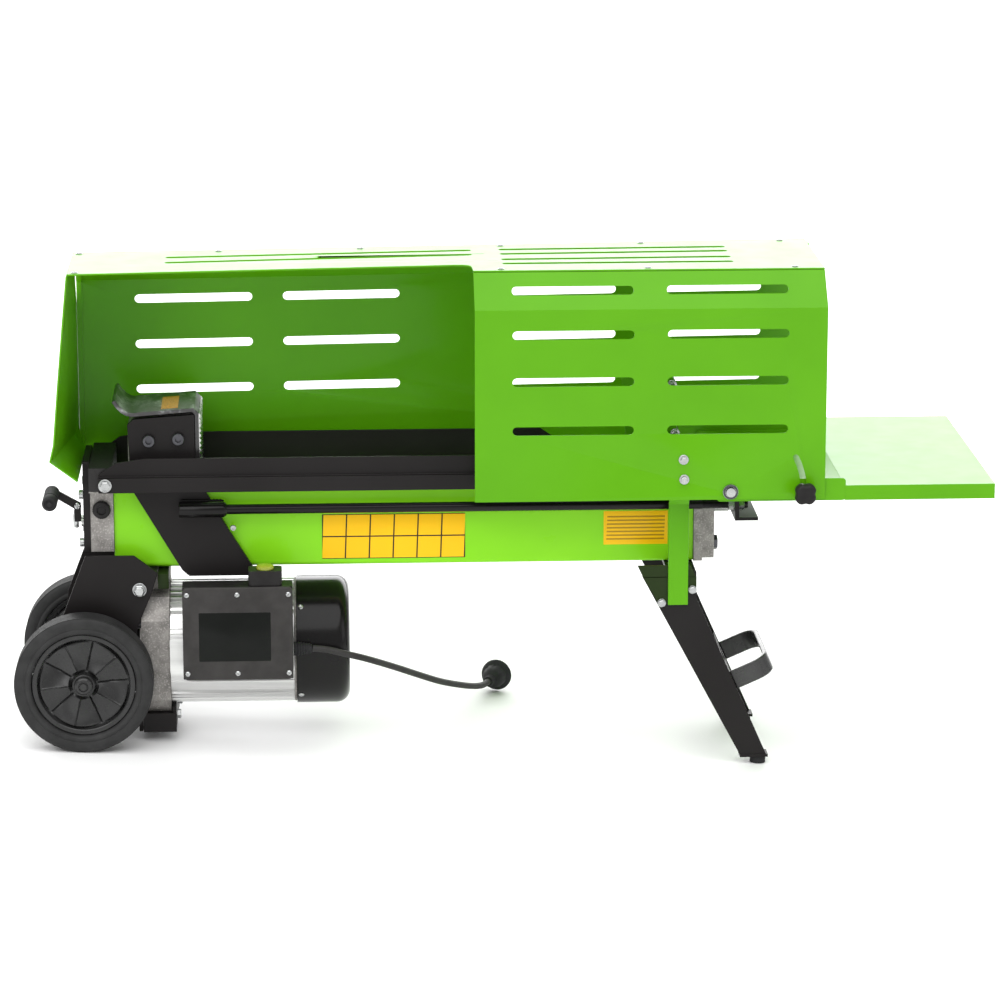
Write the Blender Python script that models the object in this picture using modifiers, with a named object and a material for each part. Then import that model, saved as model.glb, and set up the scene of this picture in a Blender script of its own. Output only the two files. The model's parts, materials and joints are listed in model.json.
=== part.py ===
"""Electric hydraulic log splitter, 5 t class, for logs up to 520 mm.

The machine frame has X along the beam from the wheels to the output table, Y away from the
operator and Z up. Its root empty leans the whole machine by LEAN, because the legs stand taller
than the wheels, and lifts it so that wheels and feet stand on z = 0. Lengths are in metres.
"""
from math import atan2, cos, hypot, pi, radians, sin, tan

import bmesh
import bpy
import numpy as np
from mathutils import Matrix, Vector

# ------------------------------------------------------------------ driving dimensions
GAP = 0.0003                 # between pieces that touch
LEAN = radians(2.2)          # the beam rises towards the table

BEAM_LEFT, BEAM_RIGHT = -0.4647, 0.2315
BEAM_BOTTOM, BEAM_TOP = -0.069, 0.031
BEAM_HALF = 0.040
BEAM_WALL = 0.004

BLOCK_LENGTH = 0.0275        # valve block at the wheel end of the beam
END_PLATE = 0.008
BED_INNER = 0.070            # half the width between the walls of the log bed
BED_SHEET = 0.004
BED_TOP = 0.073
BED_END = 0.053              # where the high part of the bed walls ends
RAIL_HEIGHT = 0.018
RAIL_OUT = 0.011
RAIL_END = 0.226

WEDGE_EDGE = 0.155           # leading edge at its foot
WEDGE_LENGTH = 0.062
WEDGE_HALF = 0.011
WEDGE_TOP = 0.185
WEDGE_LEAN = radians(4)

LOG_LENGTH = 0.516           # opening between pusher face and wedge
STROKE = 0.490
PUSHER_LENGTH = 0.080
PUSHER_HALF = 0.050
ARM_SHEET = 0.008
ROD_RADIUS = 0.006
ROD_Z = 0.007
SLEEVE_RADIUS = 0.0095
CYLINDER_Z = -0.004
BORE_RADIUS = 0.025
PISTON_ROD_RADIUS = 0.013

WHEEL_RADIUS = 0.083
WHEEL_WIDTH = 0.036
RIM_RADIUS = 0.062
AXLE_RADIUS = 0.008
AXLE_X, AXLE_Z = -0.502, -0.195
HALF_TRACK = 0.095

MOTOR_RADIUS = 0.075
MOTOR_Z = -0.171
MOTOR_LEFT, MOTOR_RIGHT = -0.400, -0.2505
COVER_RADIUS = 0.0775
COVER_LENGTH = 0.064

GUARD_SHEET = 0.002
GUARD_LEFT, GUARD_RIGHT = -0.511, 0.378
GUARD_MIDDLE = -0.036        # left edge of the front sheet
GUARD_FRONT = -0.134
GUARD_BOTTOM, GUARD_TOP = 0.030, 0.300
GUARD_CHAMFER = 0.038
BACK_CLEARANCE = 0.004       # between the far rail and the back sheet
GUARD_BACK_LEFT = BED_INNER + RAIL_OUT + BACK_CLEARANCE + GUARD_SHEET  # outer face at its left end
GUARD_FLARE = radians(3.5)   # the back sheet opens towards the table
GUARD_BACK_BOTTOM = 0.040
SLOT_LENGTH, SLOT_HEIGHT = 0.143, 0.0105

TABLE_LEFT, TABLE_RIGHT = 0.402, 0.581
TABLE_NEAR, TABLE_FAR = -0.131, 0.240
TABLE_TOP, TABLE_FLANGE = 0.045, 0.018
TABLE_PIVOT_X, TABLE_PIVOT_Z = 0.266, 0.0395
TABLE_KNOB_X = 0.353
KNOB_LENGTH = 0.024
TABLE_SWING = radians(27)

LEG_HALF = 0.094             # half the width over the legs
LEG_SHEET = 0.004
FOOT_X, FOOT_HALF, FOOT_HEIGHT = 0.3085, 0.0095, 0.0085
FOOT_SHEET = 0.003

BOX_LEFT, BOX_RIGHT = -0.383, -0.252
BOX_BOTTOM, BOX_TOP = -0.190, -0.076
BOX_NEAR, BOX_FAR = -0.108, -0.079
LEVER_X, LEVER_Z = -0.508, 0.006
GRIP_X, GRIP_Z = -0.538, 0.0235
CORD_RADIUS = 0.004

# ------------------------------------------------------------------ scene, root, materials
for old in list(bpy.data.objects):
    bpy.data.objects.remove(old)

PARTS = bpy.data.collections.new("log_splitter")
CUTTERS = bpy.data.collections.new("cutters")
for collection in (PARTS, CUTTERS):
    bpy.context.scene.collection.children.link(collection)

# Height of the machine frame's origin over the ground on which the leaning wheels stand.
LIFT = WHEEL_RADIUS - AXLE_X * sin(LEAN) - AXLE_Z * cos(LEAN)
SHIFT_X = 0.0008
SHIFT_Y = -(TABLE_FAR + GUARD_FRONT - KNOB_LENGTH) / 2

machine = bpy.data.objects.new("machine", None)
machine.location = (-SHIFT_X, SHIFT_Y, LIFT)
machine.rotation_euler = (0, -LEAN, 0)
PARTS.objects.link(machine)


def material(name, colour, roughness, metallic=0.0):
    new = bpy.data.materials.new(name)
    new.use_nodes = True
    shader = new.node_tree.nodes["Principled BSDF"]
    shader.inputs["Base Color"].default_value = (*colour, 1)
    shader.inputs["Roughness"].default_value = roughness
    shader.inputs["Metallic"].default_value = metallic
    return new


GREEN = material("green_powder_coat", (0.14, 0.51, 0.02), 0.4)
BLACK = material("black_powder_coat", (0.025, 0.023, 0.023), 0.45)
PLASTIC = material("black_plastic", (0.03, 0.03, 0.03), 0.35)
RUBBER = material("rubber", (0.03, 0.03, 0.032), 0.7)
CAST = material("cast_aluminium", (0.36, 0.34, 0.32), 0.55, 0.8)
EXTRUDED = material("extruded_aluminium", (0.62, 0.62, 0.6), 0.35, 0.9)
STEEL = material("ground_steel", (0.5, 0.5, 0.5), 0.25, 1.0)
ZINC = material("zinc_plate", (0.6, 0.6, 0.6), 0.3, 1.0)
CLEAR = material("lime_button", (0.55, 0.6, 0.12), 0.25)
COPPER = material("rotor_stack", (0.3, 0.28, 0.26), 0.5, 0.7)


# ------------------------------------------------------------------ modelling helpers
def add(name, mesh, finish, at=(0, 0, 0), turn=(0, 0, 0), parent=machine):
    obj = bpy.data.objects.new(name, mesh)
    PARTS.objects.link(obj)
    obj.parent = parent
    obj.location = at
    obj.rotation_euler = turn
    obj.data.materials.append(finish)
    return obj


def as_cutter(obj):
    """Moves a helper out of the parts, so that it only cuts or joins."""
    PARTS.objects.unlink(obj)
    CUTTERS.objects.link(obj)
    obj.hide_render = True
    obj.display_type = "WIRE"
    return obj


def combine(obj, others, operation="DIFFERENCE"):
    for other in others:
        step = obj.modifiers.new(operation.lower(), "BOOLEAN")
        step.operation = operation
        step.object = as_cutter(other)
    return obj


def fuse(obj, *others):
    return combine(obj, others, "UNION")


def block(name, low, high, finish, bevel=0.0):
    low, high = Vector(low), Vector(high)
    shape = bmesh.new()
    bmesh.ops.create_cube(shape, size=1, matrix=Matrix.Diagonal((*(high - low), 1)))
    mesh = bpy.data.meshes.new(name)
    shape.to_mesh(mesh)
    shape.free()
    obj = add(name, mesh, finish, (low + high) / 2)
    if bevel:
        rounding = obj.modifiers.new("edges", "BEVEL")
        rounding.width = bevel
        rounding.segments = 2
    return obj


def arc(centre, radius, start, end, steps):
    """Points on a circle about centre, from one angle to another."""
    angles = np.linspace(start, end, steps + 1)
    return [(centre[0] + radius * cos(a), centre[1] + radius * sin(a)) for a in angles]


def circle(centre, radius, steps=16):
    return arc(centre, radius, 0, 2 * pi, steps)[:-1]


def stadium(left, right, middle, height, steps=5):
    """Outline of a slot with round ends."""
    r = height / 2
    return (arc((right - r, middle), r, -pi / 2, pi / 2, steps)
            + arc((left + r, middle), r, pi / 2, 3 * pi / 2, steps))


def rounded(u0, v0, u1, v1, r, steps=3):
    """Rectangle with rounded corners."""
    return (arc((u1 - r, v0 + r), r, -pi / 2, 0, steps) + arc((u1 - r, v1 - r), r, 0, pi / 2, steps)
            + arc((u0 + r, v1 - r), r, pi / 2, pi, steps) + arc((u0 + r, v0 + r), r, pi, 3 * pi / 2, steps))


def bent(points, thickness):
    """Outline of a folded sheet whose one face follows points; the sheet lies to their left."""
    points = [Vector(p) for p in points]
    inner = []
    for i, point in enumerate(points):
        sides = []
        for a, b in ((i - 1, i), (i, i + 1)):
            if a >= 0 and b < len(points):
                along = (points[b] - points[a]).normalized()
                sides.append(Vector((-along.y, along.x)))
        normal = sum(sides, Vector((0, 0))).normalized()
        inner.append(point + normal * thickness / normal.dot(sides[0]))
    return [tuple(p) for p in points] + [tuple(p) for p in reversed(inner)]


def solid_mesh(source):
    """The mesh that a curve or a modifier makes; the source object is removed."""
    graph = bpy.context.evaluated_depsgraph_get()
    mesh = bpy.data.meshes.new_from_object(source.evaluated_get(graph))
    bpy.data.objects.remove(source)
    mesh.materials.clear()
    return mesh


def prism(name, loops, axis, low, high, finish, at=(0, 0, 0), turn=(0, 0, 0)):
    """A flat outline with holes, carried along an axis. Loops hold (y, z), (x, z) or (x, y)."""
    curve = bpy.data.curves.new(name, "CURVE")
    curve.dimensions = "2D"
    curve.fill_mode = "BOTH"
    curve.extrude = (high - low) / 2
    for loop in loops:
        spline = curve.splines.new("POLY")
        spline.points.add(len(loop) - 1)
        spline.points.foreach_set("co", [c for u, v in loop for c in (u, v, 0, 1)])
        spline.use_cyclic_u = True
    flat = bpy.data.objects.new(name, curve)
    PARTS.objects.link(flat)
    mesh = solid_mesh(flat)
    columns = {"X": ((0, 1, 0), (0, 0, 1), (1, 0, 0)), "Y": ((1, 0, 0), (0, 0, 1), (0, 1, 0)),
               "Z": ((1, 0, 0), (0, 1, 0), (0, 0, 1))}[axis]
    place = Matrix(columns).transposed().to_4x4()
    place.translation = Vector(columns[2]) * (low + high) / 2
    return add(name, welded(mesh, place), finish, at, turn)


def welded(mesh, place):
    """The mesh carried to its place, with loose caps joined and faces turned outwards."""
    shape = bmesh.new()
    shape.from_mesh(mesh)
    bmesh.ops.remove_doubles(shape, verts=shape.verts, dist=1e-6)
    bmesh.ops.transform(shape, matrix=place, verts=shape.verts)
    bmesh.ops.recalc_face_normals(shape, faces=shape.faces)
    for face in shape.faces:
        face.smooth = False
    shape.to_mesh(mesh)
    shape.free()
    return mesh


TURN = {"X": (0, pi / 2, 0), "Y": (-pi / 2, 0, 0), "Z": (0, 0, 0)}


def turned(name, profile, axis, finish, at=(0, 0, 0), steps=24, closed=False):
    """A profile of (radius, place along the axis), listed from the high end to the low end."""
    shape = bmesh.new()
    points = [shape.verts.new((r, 0, along)) for r, along in profile]
    for a, b in zip(points, points[1:] + (points[:1] if closed else [])):
        shape.edges.new((a, b))
    mesh = bpy.data.meshes.new(name)
    shape.to_mesh(mesh)
    shape.free()
    spun = bpy.data.objects.new(name, mesh)
    PARTS.objects.link(spun)
    screw = spun.modifiers.new("turn", "SCREW")
    screw.axis = "Z"
    screw.steps = screw.render_steps = steps
    screw.use_merge_vertices = True
    screw.merge_threshold = 1e-5
    mesh = solid_mesh(spun)
    mesh.shade_smooth()
    mesh.set_sharp_from_angle(angle=radians(35))
    return add(name, mesh, finish, at, TURN[axis])


def ring(name, outer, inner, low, high, axis, finish, at=(0, 0, 0), steps=24):
    profile = [(inner, high), (outer, high), (outer, low), (inner, low)]
    return turned(name, profile, axis, finish, at, steps, closed=True)


def pin(name, radius, low, high, axis, finish, at=(0, 0, 0), steps=24):
    profile = [(0, high), (radius, high), (radius, low), (0, low)]
    return turned(name, profile, axis, finish, at, steps)


def mirrored(points):
    return [(-u, v) for u, v in reversed(points)]


# ------------------------------------------------------------------ beam, valve block, cylinder
BLOCK_RIGHT = BEAM_LEFT - GAP
BLOCK_LEFT = BLOCK_RIGHT - BLOCK_LENGTH
PLATE_RIGHT = BLOCK_LEFT - GAP
PLATE_LEFT = PLATE_RIGHT - END_PLATE
BLOCK_HALF = BEAM_HALF + 0.005
BLOCK_BOTTOM = -0.047
SPOOL_Y, SPOOL_Z, SPOOL_RADIUS = -0.028, -0.0135, 0.006
BLEED_Y, BLEED_Z, BLEED_RADIUS = 0.006, -0.018, 0.004
BORE_CLEARANCE = 0.0004

prism("beam_tank",
      [rounded(-BEAM_HALF, BEAM_BOTTOM, BEAM_HALF, BEAM_TOP, 0.007),
       rounded(-BEAM_HALF + BEAM_WALL, BEAM_BOTTOM + BEAM_WALL,
               BEAM_HALF - BEAM_WALL, BEAM_TOP - BEAM_WALL, 0.004)],
      "X", BEAM_LEFT, BEAM_RIGHT, GREEN)

spool_hole = circle((SPOOL_Y, SPOOL_Z), SPOOL_RADIUS + BORE_CLEARANCE)
bleed_hole = circle((BLEED_Y, BLEED_Z), BLEED_RADIUS + BORE_CLEARANCE)
ears = [(BLOCK_HALF, BLOCK_BOTTOM), (BLOCK_HALF, BEAM_TOP), (BED_INNER - GAP, BEAM_TOP),
        (BED_INNER - GAP, BED_TOP - 0.012)]
prism("valve_block", [ears + mirrored(ears), spool_hole, bleed_hole],
      "X", BLOCK_LEFT, BLOCK_RIGHT, CAST)
prism("end_plate",
      [rounded(-BLOCK_HALF - 0.001, BLOCK_BOTTOM, BLOCK_HALF + 0.001, BED_TOP - 0.009, 0.003),
       spool_hole, bleed_hole],
      "X", PLATE_LEFT, PLATE_RIGHT, BLACK)

PLUG_FACE = -BLOCK_HALF - GAP
turned("filler_plug",
       [(0, PLUG_FACE), (0.011, PLUG_FACE), (0.011, PLUG_FACE - 0.005),
        (0.0095, PLUG_FACE - 0.0065), (0, PLUG_FACE - 0.0065)],
       "Y", PLASTIC, at=(-0.479, 0, 0.005), steps=20)

HEAD_STEP = 0.0107
head_bore = circle((0, CYLINDER_Z), PISTON_ROD_RADIUS + BORE_CLEARANCE)
head_left = BEAM_RIGHT + GAP
fuse(prism("cylinder_head",
           [rounded(-0.043, BEAM_BOTTOM, 0.043, BEAM_TOP - 0.001, 0.004), head_bore],
           "X", head_left, head_left + HEAD_STEP, CAST),
     prism("head_step", [rounded(-0.036, BEAM_BOTTOM + 0.002, 0.036, 0.024, 0.004), head_bore],
           "X", head_left + HEAD_STEP / 2, head_left + 0.0255, CAST))
HEAD_RIGHT = head_left + 0.0255
turned("drain_plug",
       [(0, 0.005), (0.008, 0.005), (0.009, 0.004), (0.009, 0), (0, 0)],
       "X", BLACK, at=(HEAD_RIGHT + GAP, -0.022, -0.050), steps=6)

TUBE_WALL = 0.0045
tube = ring("cylinder_tube", BORE_RADIUS + TUBE_WALL, BORE_RADIUS, BEAM_LEFT + GAP, BEAM_RIGHT - GAP,
            "X", STEEL, at=(0, 0, CYLINDER_Z))
combine(tube, [pin("spool_room", SPOOL_RADIUS + 0.0015, BEAM_LEFT - 0.004, BEAM_LEFT + 0.012, "X", STEEL,
                   at=(0, SPOOL_Y, SPOOL_Z), steps=16)])

# ------------------------------------------------------------------ log bed and wedge
BED_LEFT = BLOCK_LEFT + 0.012
BED_BOTTOM = BEAM_TOP + 0.002
SHOULDER = BED_BOTTOM + RAIL_HEIGHT
wall_outline = [(BED_LEFT, BED_BOTTOM), (RAIL_END, BED_BOTTOM), (RAIL_END, SHOULDER),
                (BED_END + 0.032, SHOULDER), (BED_END, BED_TOP), (BED_LEFT + 0.055, BED_TOP),
                (BED_LEFT + 0.020, BED_TOP - 0.005), (BED_LEFT, SHOULDER + 0.003)]
for side, sign in (("near", -1), ("far", 1)):
    wall = sorted((sign * BED_INNER, sign * (BED_INNER + BED_SHEET)))
    rail = sorted((sign * (BED_INNER + BED_SHEET / 2), sign * (BED_INNER + RAIL_OUT)))
    fuse(prism(f"bed_wall_{side}", [wall_outline], "Y", *wall, BLACK),
         block(f"rail_{side}", (BED_LEFT, rail[0], BED_BOTTOM), (RAIL_END, rail[1], SHOULDER), BLACK))

WEDGE_FOOT = BEAM_TOP + GAP
WEDGE_BASE = 0.009
wedge_end = WEDGE_EDGE + WEDGE_LENGTH
blade = prism("wedge",
              [[(WEDGE_EDGE, -0.0006), (WEDGE_EDGE + 0.026, -WEDGE_HALF), (wedge_end, -WEDGE_HALF),
                (wedge_end, WEDGE_HALF), (WEDGE_EDGE + 0.026, WEDGE_HALF), (WEDGE_EDGE, 0.0006)]],
              "Z", WEDGE_FOOT + WEDGE_BASE / 2, WEDGE_TOP, GREEN)
for vertex in blade.data.vertices:
    vertex.co.x -= tan(WEDGE_LEAN) * (vertex.co.z - WEDGE_FOOT)
fuse(blade, block("wedge_base", (WEDGE_EDGE - 0.014, -BED_INNER + GAP, WEDGE_FOOT),
                  (RAIL_END - 0.002, BED_INNER - GAP, WEDGE_FOOT + WEDGE_BASE), GREEN))

# ------------------------------------------------------------------ wheel end
BRACKET_OUT = 0.064
BRACKET_SHEET = 0.004
BRACKET_TOP = BLOCK_BOTTOM - 0.001
SEAT_TOP = BEAM_BOTTOM - GAP
bracket_outline = [(-0.499, BRACKET_TOP), (-0.441, BRACKET_TOP), (-0.413, SEAT_TOP),
                   (-0.421, -0.096), (-0.435, -0.128), (-0.462, AXLE_Z - 0.012),
                   (-0.480, AXLE_Z - 0.022), (-0.520, AXLE_Z - 0.022), (-0.534, AXLE_Z - 0.010),
                   (-0.528, -0.123)]
axle_hole = circle((AXLE_X, AXLE_Z), AXLE_RADIUS + GAP)
for side, sign in (("near", -1), ("far", 1)):
    sheet = sorted((sign * (BRACKET_OUT - BRACKET_SHEET), sign * BRACKET_OUT))
    seat = sorted((sign * 0.002, sign * (BRACKET_OUT - BRACKET_SHEET / 2)))
    fuse(prism(f"wheel_bracket_{side}", [bracket_outline, axle_hole], "Y", *sheet, BLACK),
         block(f"seat_{side}", (BEAM_LEFT + GAP, seat[0], SEAT_TOP - BRACKET_SHEET),
               (-0.4145, seat[1], SEAT_TOP), BLACK))

HUB_HALF = WHEEL_WIDTH / 2 - 0.002
AXLE_END = HALF_TRACK + HUB_HALF + GAP
turned("axle",
       [(0, AXLE_END + 0.006), (0.006, AXLE_END + 0.006), (0.011, AXLE_END + 0.003), (0.011, AXLE_END),
        (AXLE_RADIUS, AXLE_END), (AXLE_RADIUS, -AXLE_END), (0.011, -AXLE_END),
        (0.011, -AXLE_END - 0.003), (0.006, -AXLE_END - 0.006), (0, -AXLE_END - 0.006)],
       "Y", ZINC, at=(AXLE_X, 0, AXLE_Z))

tread_half = WHEEL_WIDTH / 2
for side, sign in (("near", -1), ("far", 1)):
    centre = (AXLE_X, sign * HALF_TRACK, AXLE_Z)
    shoulder = WHEEL_RADIUS - 0.008
    tyre = ([(RIM_RADIUS + GAP, tread_half - 0.004), (RIM_RADIUS + 0.004, tread_half)]
            + [(shoulder, tread_half), (WHEEL_RADIUS - 0.002, tread_half - 0.004),
               (WHEEL_RADIUS, tread_half - 0.010)])
    turned(f"tyre_{side}", tyre + [(r, -along) for r, along in reversed(tyre)],
           "Y", RUBBER, at=centre, steps=40, closed=True)
    web = 0.004
    half_rim = [(AXLE_RADIUS + GAP, HUB_HALF), (0.015, HUB_HALF), (0.016, web), (RIM_RADIUS - 0.006, web),
                (RIM_RADIUS - 0.004, tread_half - 0.005), (RIM_RADIUS, tread_half - 0.005)]
    turned(f"rim_{side}", half_rim + [(r, -along) for r, along in reversed(half_rim)],
           "Y", PLASTIC, at=centre, steps=32, closed=True)

# ------------------------------------------------------------------ pump and gears
PUMP_LEFT = -0.434
PUMP_RIGHT = MOTOR_LEFT - GAP
PUMP_WALL = 0.006
SHAFT_RADIUS = 0.009
GEAR_TEETH = 12
GEAR_ROOT, GEAR_TIP = 0.0122, 0.0172
GEAR_SPACING = 0.0308
GEAR_LEFT = PUMP_LEFT + PUMP_WALL + 0.001
GEAR_RIGHT = PUMP_RIGHT - 0.006
POCKET = GEAR_TIP + 0.0008
half_pump = [(0.046, -0.2467), (0.062, -0.228), (0.062, -0.130), (0.046, -0.104), (0.030, -0.098),
             (0.030, SEAT_TOP - BRACKET_SHEET - GAP)]
pocket = arc((0, MOTOR_Z), POCKET, pi, 2 * pi, 12) + arc((0, MOTOR_Z + GEAR_SPACING), POCKET, 0, pi, 12)
combine(prism("pump_housing", [half_pump + mirrored(half_pump)], "X", PUMP_LEFT, PUMP_RIGHT, CAST),
        [prism("gear_pocket", [pocket], "X", PUMP_LEFT + PUMP_WALL, PUMP_RIGHT + 0.001, CAST)])


def gear_outline(phase):
    """Straight-flanked teeth with play, so that two gears run without touching."""
    points = []
    pitch = 2 * pi / GEAR_TEETH
    for tooth in range(GEAR_TEETH):
        middle = phase + tooth * pitch
        for radius, offset in ((GEAR_ROOT, -0.30), (GEAR_TIP, -0.12), (GEAR_TIP, 0.12), (GEAR_ROOT, 0.30)):
            angle = middle + offset * pitch
            points.append((radius * cos(angle), radius * sin(angle)))
    return points


prism("drive_gear", [gear_outline(pi / 2), circle((0, 0), SHAFT_RADIUS + GAP)], "X",
      GEAR_LEFT, GEAR_RIGHT, STEEL, at=(0, 0, MOTOR_Z))
prism("idler_gear", [gear_outline(-pi / 2 + pi / GEAR_TEETH), circle((0, 0), 0.005)], "X",
      GEAR_LEFT, GEAR_RIGHT, STEEL, at=(0, 0, MOTOR_Z + GEAR_SPACING))

CHANNEL_TOP = -0.247
channel = [(0.055, CHANNEL_TOP - 0.024), (0.055, CHANNEL_TOP), (-0.055, CHANNEL_TOP),
           (-0.055, CHANNEL_TOP - 0.024)]
prism("motor_foot", [bent(channel, 0.004)], "X", PUMP_LEFT, PUMP_LEFT + 0.040, BLACK)

# ------------------------------------------------------------------ motor
HOUSING_WALL = 0.009
ring("motor_housing", MOTOR_RADIUS, MOTOR_RADIUS - HOUSING_WALL, MOTOR_LEFT, MOTOR_RIGHT,
     "X", EXTRUDED, at=(0, 0, MOTOR_Z), steps=40)
COVER_LEFT = MOTOR_RIGHT + 0.0025
COVER_RIGHT = COVER_LEFT + COVER_LENGTH
COVER_WALL = 0.0025
cover_outside = [(0, COVER_RIGHT)] + [
    (COVER_RADIUS - 0.016 + 0.016 * sin(a), COVER_RIGHT - 0.016 + 0.016 * cos(a))
    for a in np.linspace(0, pi / 2, 5)]
cover_inside = [(COVER_RADIUS - 0.016 + (0.016 - COVER_WALL) * sin(a),
                 COVER_RIGHT - 0.016 + (0.016 - COVER_WALL) * cos(a))
                for a in np.linspace(pi / 2, 0, 5)]
turned("fan_cover",
       cover_outside + [(COVER_RADIUS, COVER_LEFT), (COVER_RADIUS - COVER_WALL, COVER_LEFT)]
       + cover_inside + [(0, COVER_RIGHT - COVER_WALL)],
       "X", PLASTIC, at=(0, 0, MOTOR_Z), steps=40)
ROTOR_LEFT, ROTOR_RIGHT = MOTOR_LEFT + 0.018, MOTOR_RIGHT - 0.032
ROTOR_CLEARANCE = 0.011      # between the rotor and the housing round it
ROTOR_RADIUS = MOTOR_RADIUS - HOUSING_WALL - ROTOR_CLEARANCE
SHAFT_RIGHT = COVER_RIGHT - 0.012
turned("motor_rotor",
       [(0, SHAFT_RIGHT), (SHAFT_RADIUS, SHAFT_RIGHT), (SHAFT_RADIUS, ROTOR_RIGHT),
        (ROTOR_RADIUS, ROTOR_RIGHT), (ROTOR_RADIUS, ROTOR_LEFT), (SHAFT_RADIUS, ROTOR_LEFT),
        (SHAFT_RADIUS, GEAR_LEFT), (0, GEAR_LEFT)],
       "X", COPPER, at=(0, 0, MOTOR_Z), steps=24)
FAN_BLADES = 8
fan_outline = []
for blade_number in range(FAN_BLADES):
    middle = 2 * pi * blade_number / FAN_BLADES
    for radius, offset in ((0.022, -0.35), (0.062, -0.12), (0.062, 0.12), (0.022, 0.35)):
        fan_outline.append((radius * cos(middle + offset), radius * sin(middle + offset)))
prism("cooling_fan", [fan_outline, circle((0, 0), SHAFT_RADIUS + GAP)], "X",
      COVER_LEFT + 0.010, COVER_LEFT + 0.030, PLASTIC, at=(0, 0, MOTOR_Z))

# ------------------------------------------------------------------ switch box
BOX_WALL = 0.003
saddle = combine(block("box_saddle", (BOX_LEFT + 0.025, BOX_FAR - 0.001, BOX_BOTTOM + 0.030),
                       (BOX_RIGHT - 0.025, -0.062, BOX_TOP - 0.030), PLASTIC),
                 [pin("motor_space", MOTOR_RADIUS + GAP, MOTOR_LEFT, MOTOR_RIGHT, "X", PLASTIC,
                      at=(0, 0, MOTOR_Z), steps=40)])
box = fuse(block("switch_box", (BOX_LEFT, BOX_NEAR, BOX_BOTTOM), (BOX_RIGHT, BOX_FAR, BOX_TOP), PLASTIC),
           saddle)
combine(box, [block("box_space", (BOX_LEFT + BOX_WALL, BOX_NEAR - 0.01, BOX_BOTTOM + BOX_WALL),
               (BOX_RIGHT - BOX_WALL, BOX_FAR - BOX_WALL, BOX_TOP - BOX_WALL), PLASTIC)])
LID_NEAR = BOX_NEAR - GAP - 0.004
prism("switch_box_lid", [rounded(BOX_LEFT, BOX_BOTTOM, BOX_RIGHT, BOX_TOP, 0.006)], "Y",
      LID_NEAR, BOX_NEAR - GAP, PLASTIC)
BUTTON_X, BUTTON_Y, BUTTON_RADIUS, BUTTON_TRAVEL = -0.2845, -0.094, 0.0105, 0.004
HOLDER_TOP, HOLDER_BOTTOM = -0.0575, BOX_TOP + GAP
prism("button_housing",
      [rounded(BUTTON_X - 0.020, BUTTON_Y - 0.014, BUTTON_X + 0.020, BUTTON_Y + 0.014, 0.004),
       circle((BUTTON_X, BUTTON_Y), BUTTON_RADIUS + BORE_CLEARANCE, 20)],
      "Z", HOLDER_BOTTOM, HOLDER_TOP, PLASTIC)
turned("switch_button",
       [(0, HOLDER_TOP + 0.005), (0.008, HOLDER_TOP + 0.0047), (BUTTON_RADIUS, HOLDER_TOP + 0.003),
        (BUTTON_RADIUS, HOLDER_BOTTOM + BUTTON_TRAVEL + 0.001), (0, HOLDER_BOTTOM + BUTTON_TRAVEL + 0.001)],
       "Z", CLEAR, at=(BUTTON_X, BUTTON_Y, 0), steps=20)

# ------------------------------------------------------------------ mains lead
CORD_EXIT = Vector((BOX_RIGHT + 0.023, -0.094, -0.157))
turned("cable_boot",
       [(0, 0.0226), (0.0052, 0.0226), (0.0085, 0.004), (0.0085, GAP), (0, GAP)],
       "X", RUBBER, at=(BOX_RIGHT, CORD_EXIT.y, CORD_EXIT.z), steps=16)
# Route in the world frame: out of the boot, past the fan cover and down to the plug on the ground.
CORD_ROUTE = [(-0.2232, -0.1350, 0.1315), (-0.2063, -0.1350, 0.1303), (-0.1847, -0.1330, 0.1252),
              (-0.1639, -0.1210, 0.1175), (-0.1414, -0.0990, 0.1055), (-0.1160, -0.0690, 0.0898),
              (-0.0900, -0.0330, 0.0717), (-0.0635, 0.0050, 0.0536), (-0.0392, 0.0430, 0.0388),
              (-0.0213, 0.0730, 0.0286), (-0.0090, 0.0960, 0.0226), (-0.0020, 0.1110, 0.0204),
              (0.0025, 0.1230, 0.0202)]


def smooth_route(points, steps):
    """Points of a Catmull-Rom curve through the route, steps for each stretch."""
    p = [Vector(point) for point in points]
    p = [2 * p[0] - p[1]] + p + [2 * p[-1] - p[-2]]
    out = []
    for a, b, c, d in zip(p, p[1:], p[2:], p[3:]):
        for i in range(steps):
            t = i / steps
            out.append(0.5 * ((2 * b) + (c - a) * t + (2 * a - 5 * b + 4 * c - d) * t * t
                              + (3 * b - a - 3 * c + d) * t ** 3))
    return out + [p[-2]]


cord_curve = bpy.data.curves.new("power_cord", "CURVE")
cord_curve.dimensions = "3D"
cord_curve.bevel_depth = CORD_RADIUS
cord_curve.bevel_resolution = 2
cord_curve.use_fill_caps = True
cord_points = smooth_route(CORD_ROUTE, 2)
cord_spline = cord_curve.splines.new("POLY")
cord_spline.points.add(len(cord_points) - 1)
for spline_point, place in zip(cord_spline.points, cord_points):
    spline_point.co = (*place, 1)
add("power_cord", cord_curve, RUBBER, parent=None)

plug_along = Vector((0.0045, 0.0120, 0)).normalized()
plug = turned("plug",
              [(0, 0.052), (0.0190, 0.052), (0.0198, 0.050), (0.0198, 0.030), (0.0125, 0.018),
               (0.0075, 0.004), (0.0060, GAP), (0, GAP)],
              "Z", RUBBER, steps=20)
plug.parent = None
plug.rotation_euler = plug_along.to_track_quat("Z", "Y").to_euler()
plug.location = cord_points[-1]

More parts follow.
